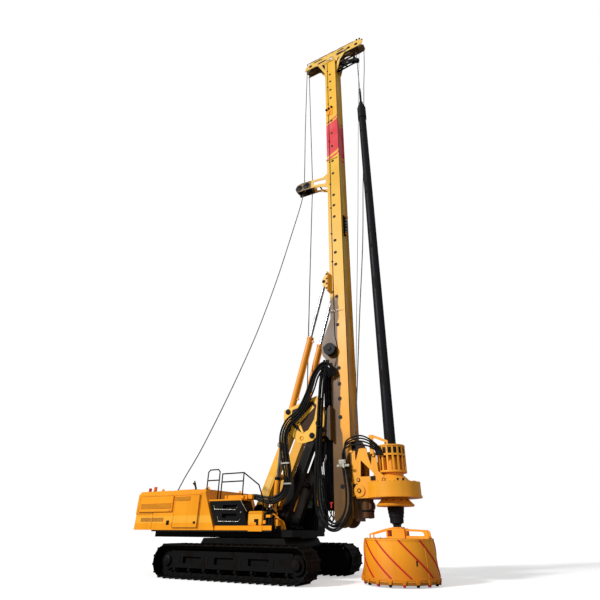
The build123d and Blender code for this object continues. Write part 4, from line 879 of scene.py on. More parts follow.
# Ropes: the lines they hang along, in (x, z) or (x, y, z)
ropes = {
    "radius": 0.021, "thin": 0.011, "pitch": 0.26, "gap": 0.032, "wheel": 0.38, "lane": 0.13, "headZ": 27.30,
    "sagging": ((-4.36, 2.68), (-4.02, 3.28), (-3.28, 4.43), (-2.18, 6.50), (-1.10, 8.79), (-0.43, 10.49),
                (0.19, 12.32), (0.78, 14.30), (1.27, 16.02), (1.475, 16.98)),
    "auxUp": ((1.685, 4.98), (1.74, 8.9), (1.82, 13.0), (1.90, 16.6), (1.925, 17.1)),
    "auxFall": ((5.43, 0.13, 27.30), (5.32, 0.22, 25.6), (5.13, 0.31, 23.6), (4.92, 0.31, 20.1),
                (4.64, 0.30, 16.3),
                (4.43, 0.24, 12.8), (4.13, 0.06, 9.0), (3.86, -0.20, 4.85), (3.80, -0.20, 4.16)),
    "second": ((5.10, 0.13, 26.93), (4.86, 0.26, 24.2), (4.62, 0.24, 20.1), (4.32, 0.10, 14.06),
               (4.04, -0.04, 9.0),
               (3.87, -0.12, 5.78), (3.79, -0.12, 4.16)),
    "ends": (-0.20, -0.12),
}
# the short arm that keeps the rope in line below the head, and the ball at its tip
ropeArm = {
    "bars": (((3.65, 26.04), (4.30, 26.02), (4.94, 26.03)), ((3.65, 26.55), (4.20, 26.36), (4.94, 26.06)),
             ((3.66, 26.08), (4.02, 26.40)), ((4.02, 26.40), (4.34, 26.03))),
    "root": ((3.648, 25.70), (3.78, 25.98), (3.95, 26.02), (3.95, 26.10), (3.648, 26.16)),
    "ball": ((0.02, -0.19), (0.085, -0.15), (0.135, -0.05), (0.135, 0.05), (0.085, 0.15), (0.03, 0.19)),
}


def rope(path, radius=ropes["radius"]):
    # six lobes that wind round the line of the path
    return tube(resampled(path, ropes["gap"]), radius, 12, (0, 1, 0), 6, 0.13, ropes["pitch"])


def arc(centre, radius, start, stop, y, count=14):
    # points round a crosswise pin, angles in degrees from +x towards +z
    a = np.radians(np.linspace(start, stop, count))
    return np.stack([centre[0] + radius * np.cos(a), np.full(count, y), centre[1] + radius * np.sin(a)], -1)


def inLane(line, y):
    return [(x, y, z) for x, z in line]


def stringRopes():
    wheel, lane, z = ropes["wheel"], ropes["lane"], ropes["headZ"]
    hung = rope(smooth(inLane(ropes["sagging"], 0.0), 20))
    blended("rope_to_main_winch", ropeSteel, [hung])
    over = np.vstack([arc((1.30, 17.10), 0.195, -20, 0, 0.0, 6), [(1.500, 0, 22.0)],
                      arc((1.95, z), wheel, 180, 90, 0.0), arc((4.57, z), wheel, 90, 0, 0.0)])
    addPiece("rope_over_head", "mast", ropeSteel, [rope(over)])
    drop = rope([(4.95, 0, z), (4.965, 0, 25.3), (4.98, 0, 23.22)])
    blended("rope_to_swivel", ropeSteel, [drop])
    hung = rope(smooth(inLane(ropes["auxUp"], lane)))
    blended("rope_to_aux_winch", ropeSteel, [hung])
    over = np.vstack([[(1.925, lane, 17.1)], [(1.86, lane, 19.5)], arc((1.95, z), 0.30, 180, 90, lane),
                      arc((5.05, z), wheel, 90, 0, lane)])
    addPiece("aux_rope_over_head", "mast", ropeSteel, [rope(over)])
    fall, second = rope(smooth(ropes["auxFall"])), rope(smooth(ropes["second"]), ropes["thin"])
    blended("aux_rope_to_drive", ropeSteel, [fall])
    blended("second_rope_to_drive", ropeSteel, [second])


def ropeEnds():
    # a wedge socket on the swivel, the arm with its guide ball, and shackles on the drive
    socket = turned([(0.020, 0.0), (0.048, 0.05), (0.048, 0.22), (0.024, 0.34), (0.016, 0.36)],
                    (4.98, 0, 23.02), sides=20)
    addPiece("swivel_socket", "swivel", kellySteel, [socket])
    bars = [bar(inLane(line, y), 0.034, 0.2, 12) for line in ropeArm["bars"] for y in (-0.075, 0.075)]
    addPiece("rope_arm_bars", "mast", frameBlack, bars)
    addPiece("rope_arm_root", "mast", mastPaint, both([plate(ropeArm["root"], -0.102, -0.086)]),
             0.004)
    addPiece("rope_guide_ball", "mast", frameBlack, [turned(ropeArm["ball"], (4.975, 0, 26.02))])
    places = [(3.80, y, 4.15) for y in ropes["ends"]]
    shackles = [caps([(0.014, 0.0), (0.034, 0.04), (0.034, 0.16), (0.018, 0.24)], places, sides=16)]
    shackles += [boxes((3.77, y - 0.022, 4.14), (3.83, y + 0.022, 4.19)) for y in ropes["ends"]]
    addPiece("drive_shackles", "drive", zincSteel, shackles)


stringRopes()
ropeEnds()
print("ropes strung")


# Mast: holes, flange bolts, the small items on its faces
mast = {
    "half": 0.375, "holeX": 3.33, "hole": 0.076,
    "holes": (2.66, 4.95, 5.63, 6.19, 6.81, 8.65, 9.96, 11.59, 12.23, 12.90, 14.29, 14.99, 15.65, 17.10,
              17.98,
              19.08, 20.10, 21.12, 23.09, 23.83, 24.62, 25.30),
    "joints": (9.3, 18.15),
    "cable": ((3.17, -0.386, 26.5), (3.17, -0.386, 22.8), (3.18, -0.392, 18.15), (3.18, -0.386, 13.0),
              (3.19, -0.392, 9.3), (3.20, -0.386, 8.2), (3.28, -0.40, 7.8), (3.30, -0.42, 7.4),
              (3.24, -0.42, 7.1), (3.16, -0.40, 6.9)),
    "bracket": ((3.05, 21.72), (3.40, 21.60), (3.46, 22.20), (3.34, 22.42), (3.12, 22.36), (3.03, 22.10)),
    "rib": ((3.09, 21.64), (3.18, 21.60), (3.30, 21.98), (3.22, 22.02)),
    "rollers": ((3.06, 22.12), (3.20, 22.17), (3.37, 22.22)), "trayCables": 11,
    "lugPin": ((2.83, 10.73), 0.570, 0.072), "tiltPin": ((2.775, 7.74), 0.375, 0.105),
}
# the head's keepers, openings, nuts and knobs, and the bars of the rope bracket half-way up
head = {
    "keepers": (1.72, 2.28, 4.36, 4.86), "pins": (1.95, 4.57, 5.05), "knobs": ((5.12, 27.69), (5.30, 27.66)),
    "openings": (((2.16, 27.45), (2.76, 27.44), (2.78, 27.54), (2.18, 27.55)),
                 ((2.46, 27.10), (3.00, 27.12), (3.02, 27.24), (2.50, 27.22)),
                 ((3.76, 27.08), (4.40, 27.12), (4.42, 27.24), (3.80, 27.20)),
                 ((3.80, 27.42), (4.26, 27.44), (4.26, 27.54), (3.84, 27.52))),
    "bracketWheels": (1.30, 1.73), "bracketBars": ((1.22, 16.90), (1.22, 17.30), (1.60, 17.34), (1.90, 17.32),
                                                   (2.0, 16.92)),
}


def mastHoles():
    side, reach = -mast["half"], mast["hole"]
    at = [(mast["holeX"], side, z) for z in mast["holes"]]
    rims = repeated(ring(reach + 0.003, 0.005, (0, 0, 0), nearSide, 24, 6), at)
    addPiece("mast_hole_rims", "mast", mastPaint, both([rims]))
    # painted shade: a dark disc in each hole
    wells = caps([(reach, 0.0), (reach, 0.003), (reach * 0.9, 0.0035)], at, nearSide)
    addPiece("mast_hole_wells", "mast", jointAndShadeDark, both([wells]))
    bolted = []
    for z in mast["joints"]:
        row = [(x, -0.388, z + 0.030) for x in np.arange(3.04, 3.58, 0.066)]
        upper = bolts(row, (0, 0, 1), 0.013, 0.016)
        lower = bolts(np.array(row) - (0, 0, 0.060), (0, 0, -1), 0.013, 0.016)
        rear = [(3.002, y, z + 0.030) for y in np.arange(-0.33, 0.34, 0.066)]
        bolted += both([upper, lower]) + [bolts(rear, (0, 0, 1), 0.011, 0.016)]
    addPiece("mast_joint_bolts", "mast", zincSteel, bolted)


def mastSides():
    # a cable down the near side with its clips, wear strips down the rails, and a bracket with black rollers
    addPiece("mast_cable", "mast", hoseRubber, [hose(mast["cable"], 0.013, 12, 0.25, 8)])
    clips = [boxes((3.135, -0.405, z), (3.205, -0.374, z + 0.05)) for z in np.arange(10.2, 26.2, 1.55)]
    addPiece("mast_cable_clips", "mast", frameBlack, clips)
    wear = boxes([(3.697, -0.407, a) for a in (1.72, 9.31, 18.16)],
                 [(3.7005, -0.347, b) for b in (9.29, 18.14, 26.59)])
    addPiece("rail_wear_strips", "mast", wornRail, both([wear]))
    plates = [plate(mast["bracket"], -0.395, -0.375), plate(mast["rib"], -0.430, -0.395)]
    addPiece("side_bracket", "mast", bodyPaint, plates, 0.003)
    rollers = caps([(0.062, 0.0), (0.062, 0.055), (0.040, 0.070), (0.014, 0.072)],
                   inLane(mast["rollers"], -0.395), nearSide, 22)
    addPiece("side_bracket_rollers", "mast", frameBlack, [rollers])
    # toothed guide block on the front face between the rails
    addPiece("front_guide_block", "mast", frameBlack, [boxes((3.648, -0.10, 13.32), (3.735, 0.10, 14.44))],
             bevel=0.006)
    teeth = [boxes((3.735, -0.095, z), (3.82, 0.095, z + 0.085)) for z in np.arange(13.40, 14.20, 0.17)]
    addPiece("front_guide_teeth", "mast", zincSteel, teeth, bevel=0.006)
    ends = boxes([(3.735, -0.11, 14.33), (3.735, -0.11, 13.30)], [(3.83, 0.11, 14.47), (3.81, 0.11, 13.36)])
    addPiece("front_guide_cap", "mast", bodyPaint, [ends], 0.006)
    # painted shade in the slots at the root of each backstay lug, and the caps of the mast's pins
    slots = [boxes((3.005, -0.590, z), (3.014, -0.586, z + 0.07)) for z in 10.33 + 0.175 * np.arange(5)]
    slots += [boxes((2.930, -0.5885, z), (3.012, -0.5845, z + 0.08)) for z in 10.32 + 0.235 * np.arange(4)]
    addPiece("lug_slots", "mast", jointAndShadeDark, both(slots))
    pins = []
    for (x, z), lane, reach in (mast["lugPin"], mast["tiltPin"]):
        profile = [(reach, 0.0), (reach, 0.014), (reach * 0.7, 0.020), (reach * 0.2, 0.020)]
        pins.append(turned(profile, (x, -lane, z), nearSide))
        pins.append(bolts(circleOf(4, reach * 0.72, (x, -lane - 0.016, z), "y", 0.5), nearSide, 0.009, 0.010))
    addPiece("mast_pin_caps", "mast", frameBlack, both(pins))


def cableTray():
    # dark tray behind the lower mast with its crossbars, the cables that sway in it, and a red valve
    # at its foot
    tray = both([boxes((2.68, -0.26, 1.95), (3.014, -0.235, 6.95))]) + [boxes((2.955, -0.235, 1.95),
                                                                              (2.967, 0.235, 6.95))]
    tray += [boxes((2.682, -0.235, z), (2.705, 0.235, z + 0.05)) for z in np.arange(2.05, 6.9, 0.36)]
    addPiece("mast_cable_tray", "mast", frameBlack, tray, bevel=0.003)
    cables = []
    for i in range(mast["trayCables"]):
        k = np.arange(8)
        x = 2.68 + 0.026 * i + 0.030 * np.sin(1.9 * i + 1.3 * k)
        y = -0.29 - 0.024 * (i % 4) - 0.008 * np.sin(k + i)
        z = 2.1 + 0.1 * (i % 5) + 0.60 * k
        cables.append(tube(smooth(np.stack([x, y, z], -1), 6), 0.014 + 0.004 * (i % 3), 8))
    addPiece("mast_tray_cables", "mast", hoseRubber, cables)
    valve = [boxes([(2.90, -0.42, 2.02), (2.87, -0.42, 2.16)], [(2.945, -0.38, 2.16), (2.98, -0.38, 2.20)])]
    addPiece("mast_red_valve", "mast", redPaint, valve, 0.004)


def dressHead():
    bars = [tube([(x, -0.262, 27.640), (x, 0.262, 27.640)], 0.026, 14, (0, 0, 1)) for x in head["keepers"]]
    bars.append(tube([(4.82, -0.20, 27.70), (4.82, 0.20, 27.70)], 0.030, 14, (0, 0, 1)))
    addPiece("head_keepers", "mast", frameBlack, bars)
    # black sheets inside the cheeks, behind the openings: painted shade
    innerShade = boxes([(2.42, -0.2295, 27.20), (3.66, -0.2295, 27.20)],
                   [(3.00, -0.2235, 27.66), (4.10, -0.2235, 27.66)])
    addPiece("head_inner_shade", "mast", frameBlack, both([innerShade]))
    flange = [boxes([(1.70, -0.262, 27.688), (3.05, -0.262, 27.02)],
                    [(5.02, -0.230, 27.704), (3.62, -0.2555, 27.05)])]
    flange += [boxes((x, -0.266, 27.694), (x + 0.38, -0.232, 27.716)) for x in 2.02 + 0.62 * np.arange(5)]
    addPiece("head_flanges", "mast", wornRail, both(flange), 0.003)
    # dark brown patches over the cheeks' openings: painted shade inside them
    openings = [plate(outline, -0.2585, -0.2545) for outline in head["openings"]]
    addPiece("head_openings", "mast", shadeHollowPaint, both(openings), 0.001)
    pins = inLane([(x, 27.3) for x in head["pins"]], -0.256)
    screws = inLane([(x, z) for z in (27.0, 27.55) for x in (3.10, 3.52, 2.60, 4.12)], -0.256)
    nuts = [caps([(0.085, 0.0), (0.085, 0.012), (0.058, 0.014), (0.058, 0.036), (0.030, 0.040)], pins,
                 nearSide, 6),
            caps([(0.105, 0.0), (0.105, 0.006)], pins, nearSide, 28), bolts(screws, nearSide, 0.020, 0.018)]
    addPiece("head_nuts", "mast", frameBlack, both(nuts))
    profile = [(0.030, -0.03), (0.030, 0.02), (0.055, 0.03), (0.055, 0.085), (0.030, 0.10), (0.010, 0.10)]
    knobs = [turned(profile, (x, -0.243, z - 0.055), sides=18) for x, z in head["knobs"]]
    knobs.append(turned([(0.045, 0.0), (0.045, 0.05), (0.028, 0.07)], (5.42, -0.243, 27.46), (1, 0, 0), 18))
    addPiece("head_knobs", "mast", frameBlack, knobs)
    # the rope bracket: nuts and discs of its two wheels, and bars that keep the rope in
    wheels = [(x, 17.1) for x in head["bracketWheels"]]
    profile = [(0.060, 0.0), (0.060, 0.012), (0.036, 0.014), (0.036, 0.034), (0.018, 0.036)]
    addPiece("bracket_nuts", "mast", frameBlack, both([caps(profile, inLane(wheels, -0.222), nearSide, 6)]))
    profile = [(0.19, 0.0), (0.19, 0.010), (0.13, 0.014), (0.06, 0.030), (0.02, 0.030)]
    addPiece("bracket_discs", "mast", frameBlack,
             both([caps(profile, inLane(wheels, -0.2205), nearSide, 32)]))
    bars = [tube([(x, -0.225, z), (x, 0.225, z)], 0.020, 12, (0, 0, 1)) for x, z in head["bracketBars"]]
    addPiece("bracket_keepers", "mast", frameBlack, bars)


mastHoles()
mastSides()
cableTray()
dressHead()
print("mast dressed")


# Arms, cylinders and carrier: pin places in (x, z), each cap with its lane and radius
arms = {
    "boom": ((0.19, 2.00), (1.35, 4.65)), "link": ((1.16, 1.70), (2.32, 4.35)),
    "luff": ((0.93, 1.85), (1.1064, 4.0935)), "backstay": ((1.30, 5.30), (2.83, 10.73)),
    "deckPins": (((0.19, 2.00), 0.642, 0.105), ((1.16, 1.70), 0.642, 0.095), ((0.93, 1.85), 0.896, 0.085)),
    "carrierPins": (((1.35, 4.65), 0.664, 0.100), ((2.32, 4.35), 0.664, 0.100),
                    ((2.60, 4.76), 0.664, 0.125), ((1.30, 5.30), 0.664, 0.100)),
    "panel": ((1.48, 5.36), (1.42, 4.98), (1.56, 4.70), (1.92, 4.46), (2.16, 4.56), (2.40, 4.92),
              (2.50, 5.42),
              (2.34, 5.60), (1.78, 5.42)),
    "panelBars": (((1.60, 4.84), (1.70, 4.76), (2.42, 5.34), (2.34, 5.44)),
                  ((1.90, 4.47), (1.99, 4.47), (1.78, 4.90), (1.70, 4.84))),
}


def pinCaps(pins):
    # on each pin a retaining plate with a raised middle and its bolts, on both sides
    made = []
    for (x, z), lane, reach in pins:
        profile = [(reach, 0.0), (reach, 0.012), (reach * 0.62, 0.014), (reach * 0.62, 0.026),
                   (reach * 0.2, 0.028)]
        made.append(turned(profile, (x, -lane, z), nearSide, 28))
        places = circleOf(4, reach * 0.81, (x, -lane - 0.012, z), "y", 0.6)
        made.append(bolts(places, nearSide, reach * 0.10, 0.010))
    return both(made)


def barPatch(ends, shares, half, lane, thick):
    # a thin plate on a bar's outer face, square to the bar: a share of the way along, then moved sideways
    start, end = np.array(ends)
    ahead = (end - start) / np.linalg.norm(end - start)
    aside = half * np.array([-ahead[1], ahead[0]])
    low, high = (start + (end - start) * share for share in shares)
    return both([plate([low - aside, high - aside, high + aside, low + aside], -lane - thick, -lane)])


def cylinderDressing(ends, lane, barrelShare, radius):
    # gland ring, a clamped oil pipe along the barrel and a port block at each end
    foot, tip = (np.array([x, -lane, z]) for x, z in ends)
    run = tip - foot
    axis = unit(run)
    gland = [(radius + 0.001, -0.10), (radius + 0.016, -0.095), (radius + 0.016, -0.01),
             (radius - 0.004, 0.004)]
    aside = np.cross(axis, (0, 1, 0)) * (radius + 0.030)
    spots = [foot + run * share - aside for share in (0.10, barrelShare - 0.03)]
    made = [turned(gland, foot + run * barrelShare, axis, 28), bar(spots, 0.016, 0.2)]
    made += [boxes(spot - (0.030, 0.030, 0.035), spot + (0.040, 0.030, 0.035)) for spot in spots]
    return both(made)


def dressArms():
    addPiece("deck_pin_caps", "upper", frameBlack, pinCaps(arms["deckPins"]))
    addPiece("carrier_pin_caps", "carrier", frameBlack, pinCaps(arms["carrierPins"]))
    rims = both([ring(0.072, 0.013, (1.89, -0.642, 4.29), nearSide, 28, 8)])
    addPiece("carrier_hole_rims", "carrier", bodyPaint, rims)
    # a dark panel on each carrier cheek, as painted shade, with two bars across it
    addPiece("carrier_panel_shade", "carrier", shadeHollowPaint, both([plate(arms["panel"], -0.646, -0.641)]),
             0.001)
    bars = [plate(outline, -0.656, -0.645) for outline in arms["panelBars"]]
    addPiece("carrier_bars", "carrier", boomPaint, both(bars), 0.003)
    patch = barPatch(arms["boom"], (0.10, 0.62), 0.115, 0.600, 0.006)
    addPiece("boom_side_plate", "boom", boomPaint, patch, 0.002)
    patch = barPatch(arms["boom"], (0.14, 0.40), 0.100, 0.606, 0.002)
    addPiece("boom_blank_plate", "boom", palePaint, patch)
    # a black plate on the link's side: painted shade, like the rest of the link
    patch = barPatch(arms["link"], (0.10, 0.86), 0.085, 0.600, 0.006)
    addPiece("link_side_plate", "link", frameBlack, patch, bevel=0.002)
    addPiece("luff_fittings", "luff_barrels", frameBlack, cylinderDressing(arms["luff"], 0.755, 0.52, 0.092))
    addPiece("backstay_fittings", "backstay_barrels", barrelPaint,
             cylinderDressing(arms["backstay"], 0.45, 0.55, 0.125))


dressArms()
print("arms dressed")


# Drive: bolts, pin rings, window, knobs, the red valve and the low motors; angles in degrees round the kelly
drive = {
    "centre": np.array([4.98, 0.0, 0.0]), "deckZ": 2.732, "knobs": (-62, -48, 35, 60, 150), "valve": -39,
    "pins": ((3.93, 2.835), (4.80, 2.81), (4.50, 3.56)), "beamPin": (3.96, -0.496, 2.5095),
    "cageRows": (3.56, 3.70, 3.82), "clawZ": (2.42, 3.76), "lowMotors": (-0.18, 0.18),
}


def roundKelly(angles, radius, z):
    return [drive["centre"] + (radius * math.cos(a), radius * math.sin(a), z) for a in np.radians(angles)]


def onAxis(z):
    return drive["centre"] + (0, 0, z)


def dressDrive():
    deck, up = onAxis(drive["deckZ"]), (0, 0, 1)
    gear = [bolts(circleOf(40, 0.835, deck), up, 0.014, 0.016),
            bolts(circleOf(36, 0.625, deck, "z", 0.1), up, 0.011, 0.013),
            bolts(circleOf(28, 0.30, onAxis(3.09), "z", 0.05), up, 0.010, 0.010)]
    addPiece("gearbox_bolts", "drive", drivePaint, gear)
    rings = [ring(0.046, 0.012, (x, -0.446, z), nearSide, 26, 8) for x, z in drive["pins"]]
    rings.append(ring(0.052, 0.014, drive["beamPin"], nearSide, 26, 8))
    addPiece("drive_pin_rings", "drive", frameBlack, both(rings))
    addPiece("drive_window", "drive", jointAndShadeDark, [boxes((4.36, -0.452, 2.80), (4.52, -0.436, 2.93))],
             bevel=0.004)
    profile = [(0.022, 0.0), (0.022, 0.03), (0.036, 0.035), (0.036, 0.075), (0.02, 0.085)]
    addPiece("drive_knobs", "drive", frameBlack,
             [caps(profile, roundKelly(drive["knobs"], 0.72, drive["deckZ"]), up, 16)])
    # a dark band behind the cage's bars: painted shade in the gaps between them
    band = [(0.4445, 3.602), (0.4468, 3.604), (0.4468, 3.798), (0.4445, 3.800)]
    addPiece("cage_gaps", "drive", jointAndShadeDark, [turned(band, drive["centre"], sides=64)])
    valve = caps([(0.044, 0.0), (0.044, 0.16), (0.026, 0.18)], roundKelly([drive["valve"]], 0.40, 3.36), up,
                 18)
    addPiece("cage_red_valve", "drive", redPaint, [valve], 0.002)
    profile = [(0.050, 0.0), (0.050, 0.02), (0.034, 0.03), (0.034, 0.07), (0.012, 0.075)]
    addPiece("motor_heads", "drive", frameBlack, [caps(profile, circleOf(6, 0.335, onAxis(3.49)), up, 20)])
    studs = [bolts(circleOf(24, 0.438, onAxis(3.88)), up, 0.011, 0.012)]
    profile = [(0.012, 0.0), (0.016, 0.004), (0.016, 0.008), (0.006, 0.012)]
    studs += [caps(profile, circleOf(16, 0.468, onAxis(z)), up, 6) for z in drive["cageRows"]]
    addPiece("cage_bolts", "drive", zincSteel, studs)
    places = [(3.834, y, z) for y in (-0.36, -0.12, 0.12, 0.36) for z in (3.40, 3.60, 3.80, 4.0)]
    addPiece("carriage_bolts", "drive", zincSteel, [bolts(places, (1, 0, 0), 0.014, 0.014)])
    claws = sheets([(3.74, z, 3.90, z + 0.30) for z in drive["clawZ"]], -0.4565, -0.4505)
    addPiece("claw_plates", "drive", frameBlack, both([claws]), bevel=0.002)
    low = []
    for y in drive["lowMotors"]:
        low.append(turned([(0.126, 0.0), (0.138, 0.01), (0.138, 0.05), (0.126, 0.06)], (4.06, y, 1.90), up,
                          26))
        low.append(turned([(0.095, -0.03), (0.095, 0.0), (0.05, 0.012)], (4.06, y, 1.732), (0, 0, -1), 26))
        low.append(bolts(circleOf(8, 0.098, (4.06, y, 1.741)), (0, 0, -1), 0.010, 0.012))
    addPiece("low_motor_caps", "drive", frameBlack, low)


dressDrive()
print("drive dressed")


# Bucket: slanting ribs round the shell, bands, welds and teeth; angles in degrees round the kelly
bucket = {
    "ribs": (-141, -112, -74, -39.5, 0.6, 38, 76, 114, 152, 190), "sweep": 53.0, "high": 1.150, "low": 0.225,
    "width": 0.042, "proud": 0.020, "foot": (0.19, 1.108), "top": (1.177, 1.044),
    "bands": (0.205, 1.150), "welds": (-30, 150), "slots": (-48.4, 131.6), "teeth": 18, "skirts": 12,
}


def shellRadius(z):
    # the shell tapers evenly from its wide foot to its top
    (lowZ, lowR), (highZ, highR) = bucket["foot"], bucket["top"]
    return lowR + (z - lowZ) / (highZ - lowZ) * (highR - lowR)


def onShell(radius, angle, z):
    return drive["centre"] + np.stack(np.broadcast_arrays(radius * np.cos(angle), radius * np.sin(angle), z),
                                      -1)


def spiralRib(start):
    # a flat bar bent round the shell: a four-cornered section carried down a slanting line on the cone
    s = np.linspace(0, 1, 26)
    z = bucket["high"] + (bucket["low"] - bucket["high"]) * s
    angle = np.radians(start + bucket["sweep"] * s ** 1.05)
    half, proud = bucket["width"] / 2.2, bucket["proud"]
    section = ((-half, -0.004), (-half, proud), (half, proud), (half, -0.004))
    rows = [onShell(shellRadius(z) + out, angle + turn, z + turn * 0.5) for turn, out in section]
    return skin(np.stack(rows, 1)[::-1])


def shellBox(angle, z, halfWide, halfHigh, proud):
    # a small block lying on the shell at an angle and height
    a = math.radians(angle)
    out, around = np.array([math.cos(a), math.sin(a), 0.0]), np.array([-math.sin(a), math.cos(a), 0.0])
    centre = onAxis(z) + out * (shellRadius(z) - 0.004)
    return slab([centre + around * i * halfWide + (0, 0, j * halfHigh) for i, j in square],
                out * (proud + 0.004))


def toothBlock(angle, wide, low, high, inner, outer, lowOuter):
    # a block on the rim: its foot is narrower than its head
    out = np.array([math.cos(angle), math.sin(angle), 0.0])
    around = np.array([-math.sin(angle), math.cos(angle), 0.0])
    corners = []
    for z, half, far in ((low, wide * 0.3, lowOuter), (high, wide * 0.5, outer)):
        corners += [onAxis(z) + out * r + around * i * half
                    for r, i in ((inner, -1), (far, -1), (far, 1), (inner, 1))]
    return np.array(corners), [boxFaces]


def skirtPatch(angle):
    # painted shade: a dark patch in the opening between two gussets of the skirt, narrow at the top, wide at
    # the foot
    corners = [onShell(r, angle + turn, z) for r, z, turn in ((0.445, 2.232, -0.035), (0.445, 2.232, 0.035),
                                                              (0.585, 2.074, 0.165), (0.585, 2.074, -0.165))]
    return slab(corners, 0.006 * np.array([math.cos(angle), math.sin(angle), 1.0]))


def dressBucket():
    addPiece("bucket_ribs", "kelly", redPaint, [spiralRib(a) for a in bucket["ribs"]], 0.003)
    bands = []
    for z in bucket["bands"]:
        r = shellRadius(z)
        bands.append(turned([(r - 0.002, -0.025), (r + 0.010, -0.022), (r + 0.009, 0.022),
                             (r - 0.002, 0.025)], onAxis(z), sides=96))
    addPiece("bucket_bands", "kelly", bucketPaint, bands)
    z = np.linspace(0.24, 1.12, 30)
    welds = [tube(onShell(shellRadius(z) + 0.001, a, z), 0.007, 8) for a in np.radians(bucket["welds"])]
    addPiece("bucket_welds", "kelly", bucketPaint, welds)
    # painted shade: a dark patch in each slot of the shell
    addPiece("bucket_slot", "kelly", jointAndShadeDark,
             [shellBox(a, 0.56, 0.020, 0.085, 0.003) for a in bucket["slots"]])
    angles = np.radians(10 + 360 / bucket["teeth"] * np.arange(bucket["teeth"]))
    holders = [toothBlock(a, 0.13, 0.085, 0.186, 1.02, 1.142, 1.128) for a in angles]
    addPiece("tooth_holders", "bucket_floor", bucketPaint, holders, 0.006)
    for name, finish, some in (("tooth_tips_red", redPaint, angles[0::2]),
                               ("tooth_tips_bare", wheelIron, angles[1::2])):
        tips = [toothBlock(a, 0.095, 0.024, 0.087, 1.055, 1.126, 1.112) for a in some]
        addPiece(name, "bucket_floor", finish, tips, 0.006)
    angles = np.arange(bucket["skirts"]) * 2 * np.pi / bucket["skirts"] + 0.2
    addPiece("skirt_openings", "sleeve", jointAndShadeDark, [skirtPatch(a) for a in angles])
    lugs = [boxes((4.76, y - 0.03, 1.440), (5.08, y + 0.03, 1.462)) for y in (-0.205, 0.205)]
    addPiece("bucket_top_bars", "kelly", bucketPaint, lugs, 0.004)
    topBolts = bolts(circleOf(28, 1.0, onAxis(1.177)), (0, 0, 1), 0.014, 0.014)
    addPiece("bucket_top_bolts", "kelly", zincSteel, [topBolts])


dressBucket()
print("bucket dressed")


# Hoses held at both ends by the machine: each is a line through the places the photograph shows
hoses = {
    "radius": 0.029, "countA": 8, "spreadA": 0.046, "countB": 5, "spreadB": 0.052,
    "lineA": ((3.13, -0.50, 6.50), (2.98, -0.58, 6.82), (2.75, -0.64, 6.88), (2.48, -0.70, 6.52),
              (2.30, -0.73, 5.98),
              (1.90, -0.75, 5.24), (1.42, -0.80, 4.84), (1.27, -0.87, 4.36), (1.39, -0.94, 3.71),
              (1.52, -0.96, 3.21),
              (1.55, -0.97, 2.82), (1.42, -0.98, 2.47), (1.08, -1.01, 2.29), (0.69, -1.03, 2.30),
              (0.36, -1.03, 2.38),
              (0.02, -1.02, 2.40)),
    "lineB": ((2.86, -0.50, 7.16), (2.78, -0.66, 6.50), (2.72, -0.73, 5.60), (2.66, -0.74, 4.60),
              (2.60, -0.74, 3.50),
              (2.57, -0.72, 2.60), (2.62, -0.67, 1.98), (2.80, -0.61, 1.62), (3.08, -0.57, 1.47),
              (3.38, -0.57, 1.62),
              (3.58, -0.57, 1.96), (3.63, -0.56, 2.40), (3.58, -0.55, 2.90), (3.52, -0.54, 3.30)),
    "arcLifts": (-0.10, 0.0, 0.09, 0.17), "leadDrops": (0.0, 0.12, 0.22, 0.05), "reel": (3.02, 7.59),
    "valves": ((1.01, -1.33), (1.16, -1.34), (1.17, -1.18)),
}


def hoseRuns(points, count, spread, cuts=(), narrow=1.0):
    # neighbours of one line, moved across it in two layers; each sways by its own amount; the line
    # is cut into runs
    line = smooth(points, 12)
    across = unit(np.cross(unit(np.gradient(line, axis=0)), crosswise))
    share = np.linspace(0, 1, len(line))[:, None]
    width = spread * (1 + (narrow - 1) * share**3)
    stops = [0] + [12 * c for c in cuts] + [len(line) - 1]
    runs = [[] for _ in stops[1:]]
    for i in range(count):
        sway = np.sin(3 * np.pi * share) * spread * 0.5 * math.sin(2.3 * i + 0.5)
        layer = crosswise * (hoses["radius"] * 1.3 * (i % 2))
        moved = line + across * (width * (i - (count - 1) / 2) + sway) - layer
        for run, start, stop in zip(runs, stops, stops[1:]):
            run.append(tube(moved[start:stop + 1:2], hoses["radius"], 10))
    return runs


def tie(at, axis, reach):
    # a strap round a bundle
    profile = [(reach * 0.92, -0.022), (reach, -0.018), (reach, 0.018), (reach * 0.92, 0.022)]
    return turned(profile, at, unit(np.asarray(axis, float)), 20)


def leadArmHoses():
    # the large bundle from the mast over the carrier and the boom to the deck, with its ties
    top, middle, low = hoseRuns(hoses["lineA"], hoses["countA"], hoses["spreadA"], (5, 10), 0.35)
    blended("hoses_mast_to_carrier", hoseRubber, top)
    blended("hoses_carrier_to_boom", hoseRubber,
            middle)
    blended("hoses_boom_to_deck", hoseRubber, low)
    ties = [boxes([(1.29, -1.045, 3.40), (1.36, -1.055, 2.74)], [(1.64, -1.035, 3.45), (1.74, -1.045, 2.79)])]
    addPiece("hose_tie_boom", "boom", zincSteel, ties, bevel=0.003)
    addPiece("hose_tie_carrier", "carrier", frameBlack, [boxes((1.74, -0.80, 5.14), (1.84, -0.645, 5.24))],
             bevel=0.004)


